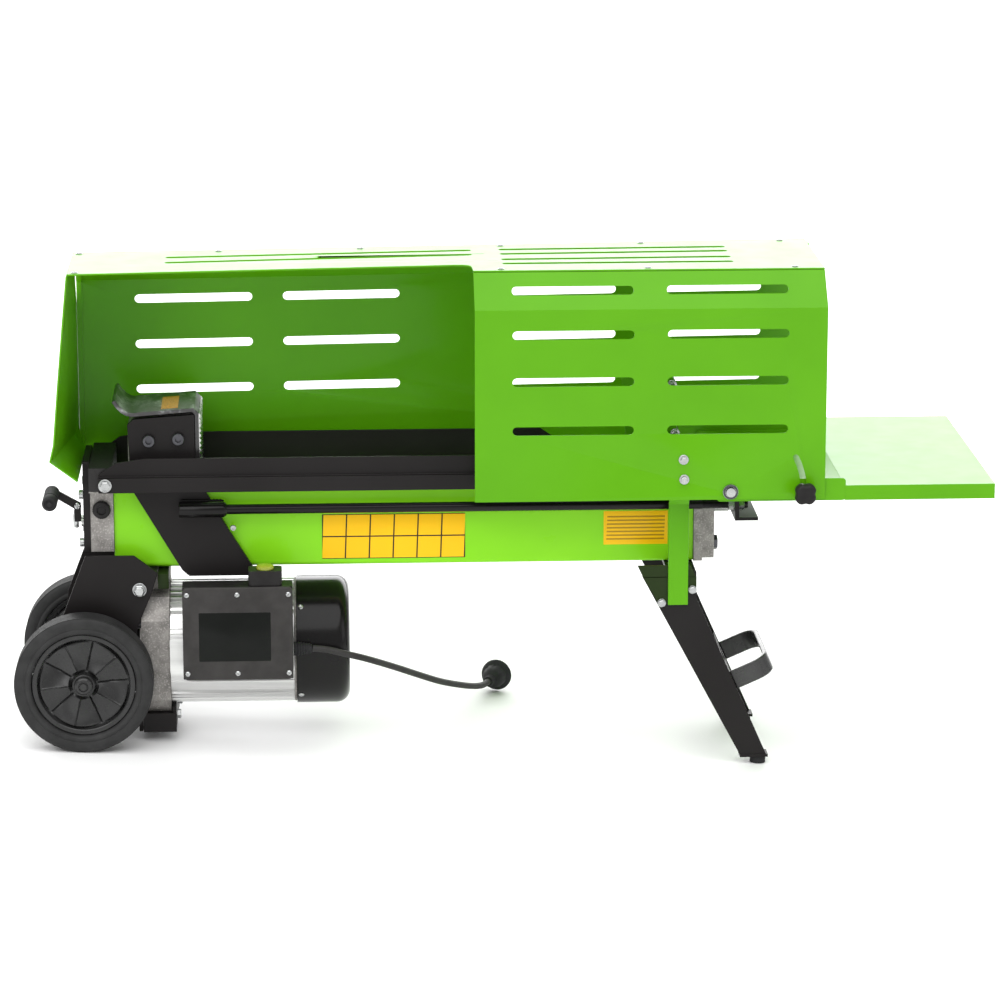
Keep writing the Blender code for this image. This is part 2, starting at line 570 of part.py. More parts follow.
# ------------------------------------------------------------------ guard
FLANGE = 0.022
front_left, front_right = GUARD_MIDDLE, GUARD_RIGHT
front_fold = GUARD_TOP - GUARD_SHEET - GAP
fold_z = front_fold - GUARD_CHAMFER
roof_near = GUARD_FRONT + GUARD_CHAMFER
front_profile = [(GUARD_FRONT, GUARD_BOTTOM), (GUARD_FRONT, fold_z), (roof_near, front_fold),
                 (roof_near + FLANGE, front_fold)]
COLUMNS = (0.008, 0.190)
FRONT_ROWS = (0.2295, 0.1735, 0.1150)
KNOB_REACH = TABLE_KNOB_X - TABLE_PIVOT_X
KNOB_STEM = 0.003


def swing_slot(reach, half, start, end, steps=8):
    """Curved slot about the table pivot, half its width to each side."""
    middle = (TABLE_PIVOT_X, TABLE_PIVOT_Z)
    tip = [(middle[0] + reach * cos(a), middle[1] + reach * sin(a)) for a in (start, end)]
    return (arc(middle, reach + half, start, end, steps) + arc(tip[1], half, end, end + pi, 4)[1:-1]
            + arc(middle, reach - half, end, start, steps)
            + arc(tip[0], half, start + pi, start + 2 * pi, 4)[1:-1])


front_cuts = [prism("front_slot", [stadium(x, x + SLOT_LENGTH, z, SLOT_HEIGHT)], "Y",
                    GUARD_FRONT - 0.01, GUARD_FRONT + 0.01, GREEN)
              for x in COLUMNS for z in FRONT_ROWS]
front_cuts += [prism("chamfer_slot", [stadium(x, x + SLOT_LENGTH, fold_z + 0.5 * GUARD_CHAMFER, 0.009)],
                     "Y", GUARD_FRONT, roof_near + 0.005, GREEN) for x in COLUMNS]
front_cuts += [prism("pivot_hole", [circle((TABLE_PIVOT_X, TABLE_PIVOT_Z), 0.0045)], "Y",
                     GUARD_FRONT - 0.01, GUARD_FRONT + 0.01, GREEN),
               prism("knob_slot",
                     [swing_slot(KNOB_REACH, KNOB_STEM + 0.0005, radians(-1), TABLE_SWING + radians(1))],
                     "Y", GUARD_FRONT - 0.01, GUARD_FRONT + 0.01, GREEN)]
front = prism("guard_front", [bent(list(reversed(front_profile)), GUARD_SHEET)], "X",
              front_left, front_right, GREEN)
combine(front, front_cuts)

# The back sheet is modelled along its own length and turned by the flare.
BACK_LENGTH = (GUARD_RIGHT - GUARD_LEFT) / cos(GUARD_FLARE)
BACK_ROWS = (0.2350, 0.1790, 0.1230)
BACK_COLUMNS = (0.071, 0.251, 0.518, 0.699)
back_profile = [(-GUARD_CHAMFER - FLANGE, front_fold), (-GUARD_CHAMFER, front_fold), (0, fold_z),
                (0, GUARD_BACK_BOTTOM)]
back_place = {"at": (GUARD_LEFT, GUARD_BACK_LEFT, 0), "turn": (0, 0, GUARD_FLARE)}
back = prism("guard_back", [bent(list(reversed(back_profile)), GUARD_SHEET)], "X",
             GUARD_SHEET + GAP, BACK_LENGTH, GREEN, **back_place)
PIVOT_ALONG = (TABLE_PIVOT_X - GUARD_LEFT) / cos(GUARD_FLARE)
back_cuts = [prism("back_slot", [stadium(x, x + SLOT_LENGTH, z, SLOT_HEIGHT)], "Y", -0.01, 0.01, GREEN,
                   **back_place) for x in BACK_COLUMNS for z in BACK_ROWS]
back_cuts += [prism("far_pivot_hole", [circle((PIVOT_ALONG, TABLE_PIVOT_Z), 0.0055)], "Y",
                    -0.01, 0.01, GREEN, **back_place)]
combine(back, back_cuts)


def back_face(x):
    """Outer face of the back sheet at x."""
    return GUARD_BACK_LEFT + tan(GUARD_FLARE) * (x - GUARD_LEFT)


roof_far = [back_face(x) - GUARD_CHAMFER / cos(GUARD_FLARE) for x in (GUARD_LEFT, GUARD_RIGHT)]
CUT_BACK = 0.040             # the roof over the loading side is cut back towards the front sheet
roof_edge = roof_near + GAP
roof_outline = ([(GUARD_LEFT, roof_edge), (GUARD_MIDDLE - 0.022, roof_edge + CUT_BACK)]
                + arc((GUARD_MIDDLE - 0.014, roof_edge + CUT_BACK - 0.013), 0.013, pi / 2, 0, 5)[1:]
                + [(GUARD_MIDDLE, roof_edge), (GUARD_RIGHT, roof_edge), (GUARD_RIGHT, roof_far[1]),
                   (GUARD_LEFT, roof_far[0])])


def slanted_slot(x0, y0, x1, y1, half):
    """Slot between two points on the roof."""
    angle = atan2(y1 - y0, x1 - x0)
    return (arc((x1, y1), half, angle - pi / 2, angle + pi / 2, 4)
            + arc((x0, y0), half, angle + pi / 2, angle + 3 * pi / 2, 4))


ROOF_SLOTS = ((-0.394, 0.009, -0.038, 0.040), (-0.394, -0.025, -0.038, 0.011),
              (0.005, 0.044, 0.270, 0.051), (0.005, 0.014, 0.270, 0.023),
              (0.005, -0.022, 0.270, -0.016), (0.005, -0.050, 0.270, -0.048))
prism("guard_roof", [roof_outline] + [slanted_slot(*slot, 0.005) for slot in ROOF_SLOTS], "Z",
      GUARD_TOP - GUARD_SHEET, GUARD_TOP, GREEN)

# The end sheet leans outwards towards its near lower corner and ends in a lip that slopes inwards.
END_NEAR = roof_near + 0.002
END_FLARE = 0.020
end_levels = [(front_fold - GAP, 0.0), (0.230, 0.35), (0.160, 0.70), (0.095, 1.0), (0.075, 1.25)]
END_COLUMNS = 6
end_rows = []
for z, share in end_levels:
    far = back_face(GUARD_LEFT) - max(0.0, z - fold_z) - 0.0015
    row = []
    for i in range(END_COLUMNS + 1):
        t = i / END_COLUMNS
        row.append((GUARD_LEFT - END_FLARE * share * (1 - t), END_NEAR + (far - END_NEAR) * t, z))
    end_rows.append(row)
lip_far = GUARD_BACK_LEFT - 2.2 * GUARD_SHEET
lip = [(PLATE_LEFT - 0.003, min(y, lip_far), z - 0.024) for x, y, z in end_rows[-1]]
end_rows.append(lip)
end_mesh = bpy.data.meshes.new("guard_end")
width = END_COLUMNS + 1
end_faces = [(r * width + c, r * width + c + 1, (r + 1) * width + c + 1, (r + 1) * width + c)
             for r in range(len(end_rows) - 1) for c in range(END_COLUMNS)]
end_mesh.from_pydata([point for row in end_rows for point in row], [], end_faces)
end_sheet = add("guard_end", end_mesh, GREEN)
thick = end_sheet.modifiers.new("sheet", "SOLIDIFY")
thick.thickness = GUARD_SHEET
thick.offset = 0

# ------------------------------------------------------------------ straps, legs, feet
STRAP_LEFT, STRAP_WIDTH, STRAP_SHEET = 0.1965, 0.024, 0.004
STRAP_FOOT = -0.108
strap_face = LEG_HALF + GAP
strap_middle = STRAP_LEFT + STRAP_WIDTH / 2
front_inside = -GUARD_FRONT - GUARD_SHEET - GAP - STRAP_SHEET
back_inside = back_face(STRAP_LEFT) - GUARD_SHEET / cos(GUARD_FLARE) - GAP - STRAP_SHEET
for side, sign, inside in (("near", -1, front_inside), ("far", 1, back_inside)):
    path = [(strap_face, STRAP_FOOT), (strap_face, 0.018), (inside, 0.060), (inside, 0.095)]
    if sign < 0:
        outline = bent([(-y, z) for y, z in path], STRAP_SHEET)
    else:
        outline = bent(list(reversed(path)), STRAP_SHEET)
    prism(f"strap_{side}", [outline], "X", STRAP_LEFT, STRAP_LEFT + STRAP_WIDTH, GREEN)


def ground_under(x):
    """Height of the ground in the machine frame under a point of the beam."""
    return -(LIFT + x * sin(LEAN)) / cos(LEAN)


leg_foot = ground_under(FOOT_X) + FOOT_HEIGHT + FOOT_SHEET
LEG_SEAT = STRAP_LEFT
leg_outline = [(0.166, -0.074), (0.190, -0.119), (FOOT_X - 0.0225, leg_foot),
               (FOOT_X + 0.0095, leg_foot), (0.231, -0.101), (0.231, -0.074)]
for side, sign in (("near", -1), ("far", 1)):
    sheet = sorted((sign * (LEG_HALF - LEG_SHEET), sign * LEG_HALF))
    seat = sorted((sign * 0.002, sign * (LEG_HALF - LEG_SHEET / 2)))
    pad = sorted((sign * (LEG_HALF - 0.020), sign * (LEG_HALF + 0.001)))
    fuse(prism(f"leg_{side}", [leg_outline], "Y", *sheet, BLACK),
         block(f"leg_seat_{side}", (LEG_SEAT, seat[0], SEAT_TOP - 0.006), (0.231, seat[1], SEAT_TOP),
               BLACK),
         block(f"leg_pad_{side}", (FOOT_X - 0.0225, pad[0], leg_foot - FOOT_SHEET),
               (FOOT_X + 0.0115, pad[1], leg_foot + 0.0005), BLACK))
for side, sign in (("near", -1), ("far", 1)):
    ground = Vector((FOOT_X, sign * (LEG_HALF - 0.0095), ground_under(FOOT_X)))
    foot = pin(f"foot_{side}", FOOT_HALF, 0, FOOT_HEIGHT - 0.0007, "Z", RUBBER, at=ground, steps=20)
    foot.rotation_euler = (0, LEAN, 0)

# Lifting handle: a bowed band that stands square to the legs, on a plate between them.
LEG_SLOPE = atan2(0.197, 0.087)
HANDLE_X, HANDLE_Z = 0.2794, -0.2121
HANDLE_HALF, HANDLE_REACH, HANDLE_BAND, HANDLE_SHEET = 0.068, 0.051, 0.024, 0.006
HANDLE_CORNER = 0.022
handle_place = {"at": (HANDLE_X, 0, HANDLE_Z), "turn": (0, LEG_SLOPE - pi / 2, 0)}
band_path = ([(0, -HANDLE_HALF)]
             + arc((HANDLE_REACH - HANDLE_CORNER, -HANDLE_HALF + HANDLE_CORNER), HANDLE_CORNER, -pi / 2, 0, 5)
             + arc((HANDLE_REACH - HANDLE_CORNER, HANDLE_HALF - HANDLE_CORNER), HANDLE_CORNER, 0, pi / 2, 5)
             + [(0, HANDLE_HALF)])
prism("lift_handle", [bent(band_path, HANDLE_SHEET)], "Z", -HANDLE_BAND / 2, HANDLE_BAND / 2, PLASTIC,
      **handle_place)
plate_half = LEG_HALF - LEG_SHEET - GAP
prism("leg_cross_plate",
      [[(-0.005 - GAP, -0.020), (-GAP, -0.020), (-GAP, 0.020), (-0.005 - GAP, 0.020)]],
      "Y", -plate_half, plate_half, BLACK, **handle_place)

# ------------------------------------------------------------------ output table
ARM_TOP = TABLE_TOP + 0.009
ARM_BOTTOM = TABLE_TOP - TABLE_FLANGE
ARM_NEAR = GUARD_FRONT + GUARD_SHEET + 2 * GAP
ARM_FAR = back_face(TABLE_PIVOT_X - 0.016) - GUARD_SHEET / cos(GUARD_FLARE) - 2 * GAP
arm_left = TABLE_PIVOT_X - 0.016
tray = block("output_table", (TABLE_LEFT, TABLE_NEAR, ARM_BOTTOM), (TABLE_RIGHT, TABLE_FAR, TABLE_TOP),
             GREEN)
combine(tray, [block("tray_space",
                     (TABLE_LEFT + GUARD_SHEET, TABLE_NEAR + GUARD_SHEET, ARM_BOTTOM - 0.01),
                     (TABLE_RIGHT - GUARD_SHEET, TABLE_FAR - GUARD_SHEET, TABLE_TOP - GUARD_SHEET), GREEN)])
arm_holes = [circle((TABLE_PIVOT_X, TABLE_PIVOT_Z), 0.0045),
             circle((TABLE_KNOB_X, TABLE_PIVOT_Z), KNOB_STEM + GAP)]
arm_outline = rounded(arm_left, ARM_BOTTOM, TABLE_LEFT + 0.001, ARM_TOP, 0.004)
fuse(tray,
     prism("table_arm_near", [arm_outline] + arm_holes, "Y", ARM_NEAR, ARM_NEAR + GUARD_SHEET, GREEN),
     prism("table_arm_far", [arm_outline] + arm_holes[:1], "Y", ARM_FAR - GUARD_SHEET, ARM_FAR, GREEN),
     block("table_floor", (TABLE_PIVOT_X + 0.004, ARM_NEAR + GUARD_SHEET / 2, TABLE_TOP - GUARD_SHEET),
           (TABLE_LEFT + 0.001, ARM_FAR - GUARD_SHEET / 2, TABLE_TOP - 0.0002), GREEN))

panel_face = GUARD_FRONT - GAP
turned("table_pivot_near",
       [(0, -0.1265), (0.004, -0.1265), (0.004, panel_face), (0.0092, panel_face),
        (0.0092, panel_face - 0.0016), (0.0062, panel_face - 0.0016), (0.0056, panel_face - 0.0056),
        (0, panel_face - 0.0056)],
       "Y", ZINC, at=(TABLE_PIVOT_X, 0, TABLE_PIVOT_Z), steps=16)
far_face = back_face(TABLE_PIVOT_X + 0.010) + GAP
turned("table_pivot_far",
       [(0, far_face + 0.0056), (0.0056, far_face + 0.0056), (0.0062, far_face + 0.0016),
        (0.0092, far_face + 0.0016), (0.0092, far_face), (0.004, far_face), (0.004, ARM_FAR - 0.006),
        (0, ARM_FAR - 0.006)],
       "Y", ZINC, at=(TABLE_PIVOT_X, 0, TABLE_PIVOT_Z), steps=16)

KNOB_RADIUS, KNOB_LOBES = 0.0125, 4
lobes = [((KNOB_RADIUS + 0.0014 * cos(KNOB_LOBES * a)) * cos(a),
          (KNOB_RADIUS + 0.0014 * cos(KNOB_LOBES * a)) * sin(a))
         for a in np.linspace(0, 2 * pi, 32, endpoint=False)]
knob_place = (TABLE_KNOB_X, panel_face, TABLE_PIVOT_Z)
fuse(prism("table_knob", [lobes], "Y", -KNOB_LENGTH + GAP, 0, PLASTIC, at=knob_place),
     prism("knob_stem", [circle((0, 0), KNOB_STEM, 12)], "Y", -0.004, 0.008, PLASTIC, at=knob_place))

# ------------------------------------------------------------------ pusher and its frame
PUSHER_FACE = WEDGE_EDGE - LOG_LENGTH
ARM_OUT = PUSHER_HALF
arm_in = ARM_OUT - ARM_SHEET
PUSHER_FOOT = BEAM_TOP + 0.001
face_sheet = 0.005
block_right = PUSHER_FACE - face_sheet - GAP
block_left = block_right - PUSHER_LENGTH
arm_outline = [(block_left, 0.109), (block_left + 0.007, 0.1155), (block_right, 0.1205),
               (block_right, 0.060), (PUSHER_FACE + 0.004, BEAM_TOP), (-0.327, -0.022),
               (-0.300, -0.066), (-0.300, -0.0775), (-0.376, -0.0775), (-0.384, -0.070),
               (-0.443, BEAM_TOP)]
near_arm = prism("pusher_frame", [arm_outline], "Y", -ARM_OUT, -arm_in, BLACK)
fuse(near_arm,
     prism("arm_far", [arm_outline], "Y", arm_in, ARM_OUT, BLACK),
     block("frame_bottom", (-0.376, -ARM_OUT + 0.001, -0.0775),
           (-0.300, ARM_OUT - 0.001, BEAM_BOTTOM - 0.0008), BLACK))
prism("pusher_block",
      [[(block_left, PUSHER_FOOT), (block_right, PUSHER_FOOT), (block_right, 0.1195),
        (block_left + 0.007, 0.1135), (block_left, 0.106)]],
      "Y", -arm_in + GAP, arm_in - GAP, CAST)
CURL_STEPS = 4
plate_right = (PUSHER_FACE, 0.1295)
curl = [(block_left + 0.006 - 0.020 * s, 0.1185 + 0.016 * s * s) for s in np.linspace(0, 1, CURL_STEPS + 1)]
plate_path = [(PUSHER_FACE, BEAM_TOP + 0.006), (PUSHER_FACE, 0.1225), (PUSHER_FACE - 0.006, 0.1290)] + [
    (x, z + face_sheet) for x, z in curl]
face_plate = prism("pusher_plate", [bent(plate_path, face_sheet)], "Y", -ARM_OUT, ARM_OUT, BLACK)
arm_notches = [block(f"arm_notch_{side}", (PUSHER_FACE - 0.010, low, BEAM_TOP),
                     (PUSHER_FACE + 0.010, high, 0.061), BLACK)
               for side, low, high in (("near", -ARM_OUT - 0.01, -arm_in + GAP),
                                       ("far", arm_in - GAP, ARM_OUT + 0.01))]
combine(face_plate, arm_notches)

ROD_Y = ARM_OUT + GAP + SLEEVE_RADIUS
SLEEVE_LEFT, SLEEVE_RIGHT = -0.386, -0.331
BRACKET_LEFT = HEAD_RIGHT + 0.0215
ROD_RIGHT = BRACKET_LEFT + 0.016
for side, sign in (("near", -1), ("far", 1)):
    turned(f"tie_rod_{side}",
           [(0, ROD_RIGHT), (ROD_RADIUS, ROD_RIGHT), (ROD_RADIUS, SLEEVE_RIGHT + 0.004),
            (SLEEVE_RADIUS, SLEEVE_RIGHT), (SLEEVE_RADIUS, SLEEVE_LEFT + 0.001),
            (SLEEVE_RADIUS - 0.001, SLEEVE_LEFT), (0, SLEEVE_LEFT)],
           "X", BLACK, at=(0, sign * ROD_Y, ROD_Z), steps=16)
BRACKET_SHEET_X = 0.005
bracket = prism("cross_bracket",
                [[(BRACKET_LEFT, 0.018), (BRACKET_LEFT + BRACKET_SHEET_X, 0.018),
                  (BRACKET_LEFT + BRACKET_SHEET_X, -0.008), (BRACKET_LEFT + 0.028, -0.008),
                  (BRACKET_LEFT + 0.028, -0.012), (BRACKET_LEFT, -0.012)]],
                "Y", -ROD_Y - 0.010, ROD_Y + 0.010, BLACK)
combine(bracket, [prism(f"rod_hole_{side}", [circle((sign * ROD_Y, ROD_Z), ROD_RADIUS + GAP)], "X",
                        BRACKET_LEFT - 0.01, BRACKET_LEFT + 0.012, BLACK)
                  for side, sign in (("near", -1), ("far", 1))])
PISTON_LENGTH = 0.026
piston_left = BRACKET_LEFT - GAP - STROKE - PISTON_LENGTH - 0.085
ring("piston", BORE_RADIUS - GAP, 0.008, 0, PISTON_LENGTH, "X", STEEL, at=(piston_left, 0, CYLINDER_Z))
turned("piston_rod",
       [(0, BRACKET_LEFT - GAP), (PISTON_ROD_RADIUS - 0.001, BRACKET_LEFT - GAP),
        (PISTON_ROD_RADIUS, BRACKET_LEFT - 0.0015), (PISTON_ROD_RADIUS, piston_left + PISTON_LENGTH + GAP),
        (0.008 - GAP, piston_left + PISTON_LENGTH + GAP), (0.008 - GAP, piston_left + 0.004),
        (0, piston_left + 0.004)],
       "X", STEEL, at=(0, 0, CYLINDER_Z), steps=20)

# ------------------------------------------------------------------ lever, spool, bleed screw
LEVER_Y, LEVER_SHEET, FINGER = -0.030, 0.004, 0.0195
lever_angle = atan2(GRIP_Z - LEVER_Z, GRIP_X - LEVER_X)
lever_reach = hypot(GRIP_X - LEVER_X, GRIP_Z - LEVER_Z)
along = Vector((cos(lever_angle), sin(lever_angle)))
across = Vector((-sin(lever_angle), cos(lever_angle)))
bar_half = 0.0045
lever_outline = [(-bar_half, -FINGER), (0.0035, -FINGER), (0.0035, 0.0035),
                 tuple(-across * bar_half), tuple(along * lever_reach - across * bar_half),
                 tuple(along * lever_reach + across * bar_half), (-bar_half, -0.0035)]
prism("control_lever", [lever_outline, circle((-0.0002, 0), 0.0018, 10)], "Y",
      LEVER_Y, LEVER_Y + LEVER_SHEET, BLACK, at=(LEVER_X, 0, LEVER_Z))
GRIP_RADIUS, GRIP_LENGTH = 0.009, 0.064
grip_far = LEVER_Y - GAP
turned("lever_grip",
       [(0, grip_far), (GRIP_RADIUS - 0.001, grip_far), (GRIP_RADIUS, grip_far - 0.0015),
        (GRIP_RADIUS, grip_far - GRIP_LENGTH + 0.0025), (GRIP_RADIUS - 0.0025, grip_far - GRIP_LENGTH),
        (0, grip_far - GRIP_LENGTH)],
       "Y", RUBBER, at=(GRIP_X, 0, GRIP_Z), steps=20)
SPOOL_TRAVEL = 0.006
spool_left = LEVER_X + 0.0035 + GAP
turned("valve_spool",
       [(0, BLOCK_RIGHT), (SPOOL_RADIUS, BLOCK_RIGHT), (SPOOL_RADIUS, BLOCK_LEFT + 0.018),
        (0.0042, BLOCK_LEFT + 0.018), (0.0042, BLOCK_LEFT + 0.010), (SPOOL_RADIUS, BLOCK_LEFT + 0.010),
        (SPOOL_RADIUS, spool_left), (0, spool_left)],
       "X", STEEL, at=(0, SPOOL_Y, SPOOL_Z), steps=16)
BLEED_HEAD = PLATE_LEFT - 0.008
turned("bleed_screw",
       [(0, BLOCK_RIGHT - 0.004), (BLEED_RADIUS, BLOCK_RIGHT - 0.004), (BLEED_RADIUS, BLEED_HEAD),
        (0.0115, BLEED_HEAD), (0.0125, BLEED_HEAD - 0.001), (0.0125, BLEED_HEAD - 0.006),
        (0.011, BLEED_HEAD - 0.007), (0, BLEED_HEAD - 0.007)],
       "X", PLASTIC, at=(0, BLEED_Y, BLEED_Z), steps=16)
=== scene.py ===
import json
from math import atan2, cos, hypot, pi, radians, sin, tan

import bmesh
import bpy
import numpy as np
from mathutils import Matrix, Vector


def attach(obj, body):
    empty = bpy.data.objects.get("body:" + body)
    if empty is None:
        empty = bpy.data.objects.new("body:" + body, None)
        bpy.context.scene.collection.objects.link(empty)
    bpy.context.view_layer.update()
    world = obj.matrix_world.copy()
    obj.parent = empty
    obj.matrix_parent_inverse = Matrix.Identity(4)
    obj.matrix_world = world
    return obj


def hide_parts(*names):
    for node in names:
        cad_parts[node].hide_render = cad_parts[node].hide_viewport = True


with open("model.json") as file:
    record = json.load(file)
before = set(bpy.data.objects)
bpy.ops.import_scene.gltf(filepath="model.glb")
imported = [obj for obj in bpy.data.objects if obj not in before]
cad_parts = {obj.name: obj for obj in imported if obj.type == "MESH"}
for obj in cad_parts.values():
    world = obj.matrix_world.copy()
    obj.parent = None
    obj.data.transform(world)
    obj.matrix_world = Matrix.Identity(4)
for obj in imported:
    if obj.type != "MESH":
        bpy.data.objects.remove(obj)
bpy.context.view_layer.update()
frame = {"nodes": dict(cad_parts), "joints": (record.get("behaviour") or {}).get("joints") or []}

# ---------------------------------------------------------------- the machine's own axes
# The splitter stands leaning: its beam rises towards the output table. Every size below is in the
# machine's own axes, X along the beam, Y away from the operator, Z up from the middle of the beam,
# and is turned and lifted on to the ground here.
joints = {joint["name"]: joint for joint in frame["joints"]}
along_beam = Vector(joints["pusher_slide"]["axis"]).normalized()
TABLE_PIVOT = Vector((0.266, 0, 0.0395))
machine = Matrix.Rotation(-atan2(along_beam.z, along_beam.x), 4, "Y")
machine.translation = Vector(joints["table_tilt"]["pos_m"]) - machine.to_3x3() @ TABLE_PIVOT
to_ground = np.array(machine)


def on_ground(points):
    """Points of the machine's own axes turned by its lean and moved to where it stands."""
    return np.asarray(points, float) @ to_ground[:3, :3].T + to_ground[:3, 3]


# ---------------------------------------------------------------- camera, floor and light
# A long lens a few metres in front of the loading side, a little above the guard. Most light falls
# from a wide soft source overhead; a broad panel behind the machine whitens what faces upwards.
CAMERA_TILT, CAMERA_TURN, CAMERA_FAR, LENS = radians(13.7), radians(2.8), 4.885, 145.08
level = cos(CAMERA_TILT)
forward = Vector((sin(CAMERA_TURN) * level, cos(CAMERA_TURN) * level, -sin(CAMERA_TILT)))
right = Vector((cos(CAMERA_TURN), -sin(CAMERA_TURN), 0))
view = Matrix((right, right.cross(forward), -forward)).transposed().to_4x4()
view.translation = -CAMERA_FAR * forward
camera = bpy.data.objects.new("camera", bpy.data.cameras.new("camera"))
camera.data.lens, camera.data.sensor_width = LENS, 36
camera.matrix_world = machine @ view
bpy.context.scene.collection.objects.link(camera)
bpy.context.scene.camera = camera
bpy.context.scene.view_settings.view_transform = "Standard"

for name, place, aim, width, height, power in (("panel_behind", (0, 4.0, 1.9), (0, 0, 1.5), 7.0, 2.4, 190),
                                               ("panel_front", (-1.9, -3.0, 1.7), (0, 0, 0.3), 2.0, 2.0, 16),
                                               ("panel_right", (2.6, -1.4, 1.3), (0, 0, 0.3), 1.6, 1.6, 7)):
    lamp = bpy.data.lights.new(name, "AREA")
    lamp.shape, lamp.size, lamp.size_y, lamp.energy = "RECTANGLE", width, height, power
    holder = bpy.data.objects.new(name, lamp)
    holder.location = place
    holder.rotation_euler = (Vector(aim) - Vector(place)).to_track_quat("-Z", "Y").to_euler()
    holder.visible_camera = False
    bpy.context.scene.collection.objects.link(holder)
overhead = bpy.data.objects.new("light_overhead", bpy.data.lights.new("light_overhead", "SUN"))
overhead.data.energy, overhead.data.angle = 2.6, radians(80)
overhead.rotation_euler = Vector((0.15, 0.35, -1)).to_track_quat("-Z", "Y").to_euler()
bpy.context.scene.collection.objects.link(overhead)

world = bpy.data.worlds.new("bright_room")
world.use_nodes = True
world.node_tree.nodes["Background"].inputs["Color"].default_value = (1, 1, 1, 1)
world.node_tree.nodes["Background"].inputs["Strength"].default_value = 0.55
bpy.context.scene.world = world


# ---------------------------------------------------------------- floor
# A pale matt floor under soft light. It is the stage, not part of the machine.


class Value:
    """A shader socket. Sums and products of values add the Math nodes that work them out."""

    def __init__(self, finish, socket):
        self.finish, self.socket = finish, socket

    def maths(self, operation, *others, clamp=False):
        settings = {"operation": operation, "use_clamp": clamp}
        return self.finish.node("ShaderNodeMath", settings, dict(enumerate(others)))

    def __add__(self, other):
        return self.maths("ADD", self, other)

    def __mul__(self, other):
        return self.maths("MULTIPLY", self, other)

    def __sub__(self, other):
        return self.maths("SUBTRACT", self, other)

    def __rsub__(self, other):
        return self.maths("SUBTRACT", other, self)

    def __gt__(self, other):
        return self.maths("GREATER_THAN", self, other)

    def to(self, low, high):
        """This value carried from the span low..high to 0..1, and held there."""
        return (self - low).maths("MULTIPLY", self - low, 1 / (high - low), clamp=True)

    __radd__, __rmul__ = __add__, __mul__


class Finish:
    """A material. Sockets that are the same all over are set on the shader; others are fed by values."""

    def __init__(self, name, slot=None, **fixed):
        self.material, self.slot = bpy.data.materials.new(name), slot
        self.material.use_nodes = True
        self.tree = self.material.node_tree
        self.shader = self.tree.nodes["Principled BSDF"]
        self.set(**fixed)

    def set(self, **sockets):
        for name, value in sockets.items():
            socket = self.shader.inputs[name.replace("_", " ")]
            if isinstance(value, Value):
                self.tree.links.new(value.socket, socket)
            else:
                socket.default_value = (*value, 1) if isinstance(value, tuple) and len(value) == 3 else value
        return self

    def node(self, kind, settings=None, inputs=None, output=0):
        """Any node: its settings first, then the values or links of its sockets."""
        new = self.tree.nodes.new(kind)
        for name, value in (settings or {}).items():
            setattr(new, name, value)
        for key, value in (inputs or {}).items():
            if isinstance(value, Value):
                self.tree.links.new(value.socket, new.inputs[key])
            else:
                new.inputs[key].default_value = value
        return Value(self, new.outputs[output])

    def place(self, stretch=(1, 1, 1)):
        """Where a point is on the piece, in metres, with each axis stretched."""
        spot = self.node("ShaderNodeTexCoord", output=3)
        return self.node("ShaderNodeMapping", None, {0: spot, 3: stretch})

    def noise(self, size, detail=2.0, stretch=(1, 1, 1)):
        """Soft random patches of about this size in metres, from 0 to 1."""
        return self.node("ShaderNodeTexNoise", None,
                         {"Vector": self.place(stretch), "Scale": 1 / size, "Detail": detail}, 0)

    def axis(self, letter):
        split = self.tree.nodes.new("ShaderNodeSeparateXYZ")
        self.tree.links.new(self.node("ShaderNodeTexCoord", output=3).socket, split.inputs[0])
        return Value(self, split.outputs["XYZ".index(letter)])

    def mix(self, share, first, second):
        """The first colour where share is 0, the second where it is 1."""
        colours = {i: (*c, 1) if isinstance(c, tuple) else c for i, c in ((6, first), (7, second))}
        return self.node("ShaderNodeMix", {"data_type": "RGBA"}, {0: share, **colours}, 2)

    def raise_by(self, height, depth):
        """Bump of this height pattern, depth in metres from its 0 to its 1."""
        bump = {"Strength": 1.0, "Distance": depth, "Height": height}
        return self.set(Normal=self.node("ShaderNodeBump", None, bump))


floor = Finish("pale_floor", Roughness=0.6)
floor.set(Base_Color=floor.mix(floor.noise(0.4), (0.93, 0.93, 0.93), (0.95, 0.95, 0.95)))
bpy.ops.mesh.primitive_plane_add(size=60, location=(0, 0, -0.0005))
ground = bpy.context.object
ground.name = "floor"
ground.data.materials.append(floor.material)


# ---------------------------------------------------------------- mains lead
# A short eight-millimetre rubber-sheathed lead. It leaves the switch box through a ribbed rubber
# boot, curves down past the fan cover and ends in a moulded plug that lies on the ground.


def moulded(name, slot, colour, roughness, grain=0.0007, depth=0.00003):
    """Plastic or rubber straight from a grained mould, slightly dusty in its shade of grey."""
    stuff = Finish(name, slot, Specular_IOR_Level=0.16)
    light = tuple(c * 1.35 + 0.004 for c in colour)
    stuff.set(Base_Color=stuff.mix(stuff.noise(0.02, 4.0).to(0.35, 0.75), colour, light),
              Roughness=roughness - 0.06 + 0.14 * stuff.noise(0.012, 3.0))
    return stuff.raise_by(stuff.noise(grain), depth)


RUBBER = moulded("black_rubber", "soft_rubber", (0.018, 0.018, 0.019), 0.62, 0.0012, 0.00005)


def metal(name, slot, colour, roughness, stretch=(1, 1, 1), grain=0.0006, depth=0.00001):
    """Bare metal with fine marks, drawn out along one axis where the tool ran."""
    stuff = Finish(name, slot, Metallic=1.0)
    dull = tuple(c * 0.72 for c in colour)
    stuff.set(Base_Color=stuff.mix(stuff.noise(0.010, 4.0, stretch).to(0.3, 0.8), colour, dull),
              Roughness=roughness - 0.06 + 0.16 * stuff.noise(0.004, 3.0, stretch))
    return stuff.raise_by(stuff.noise(grain, 2.0, stretch), depth)


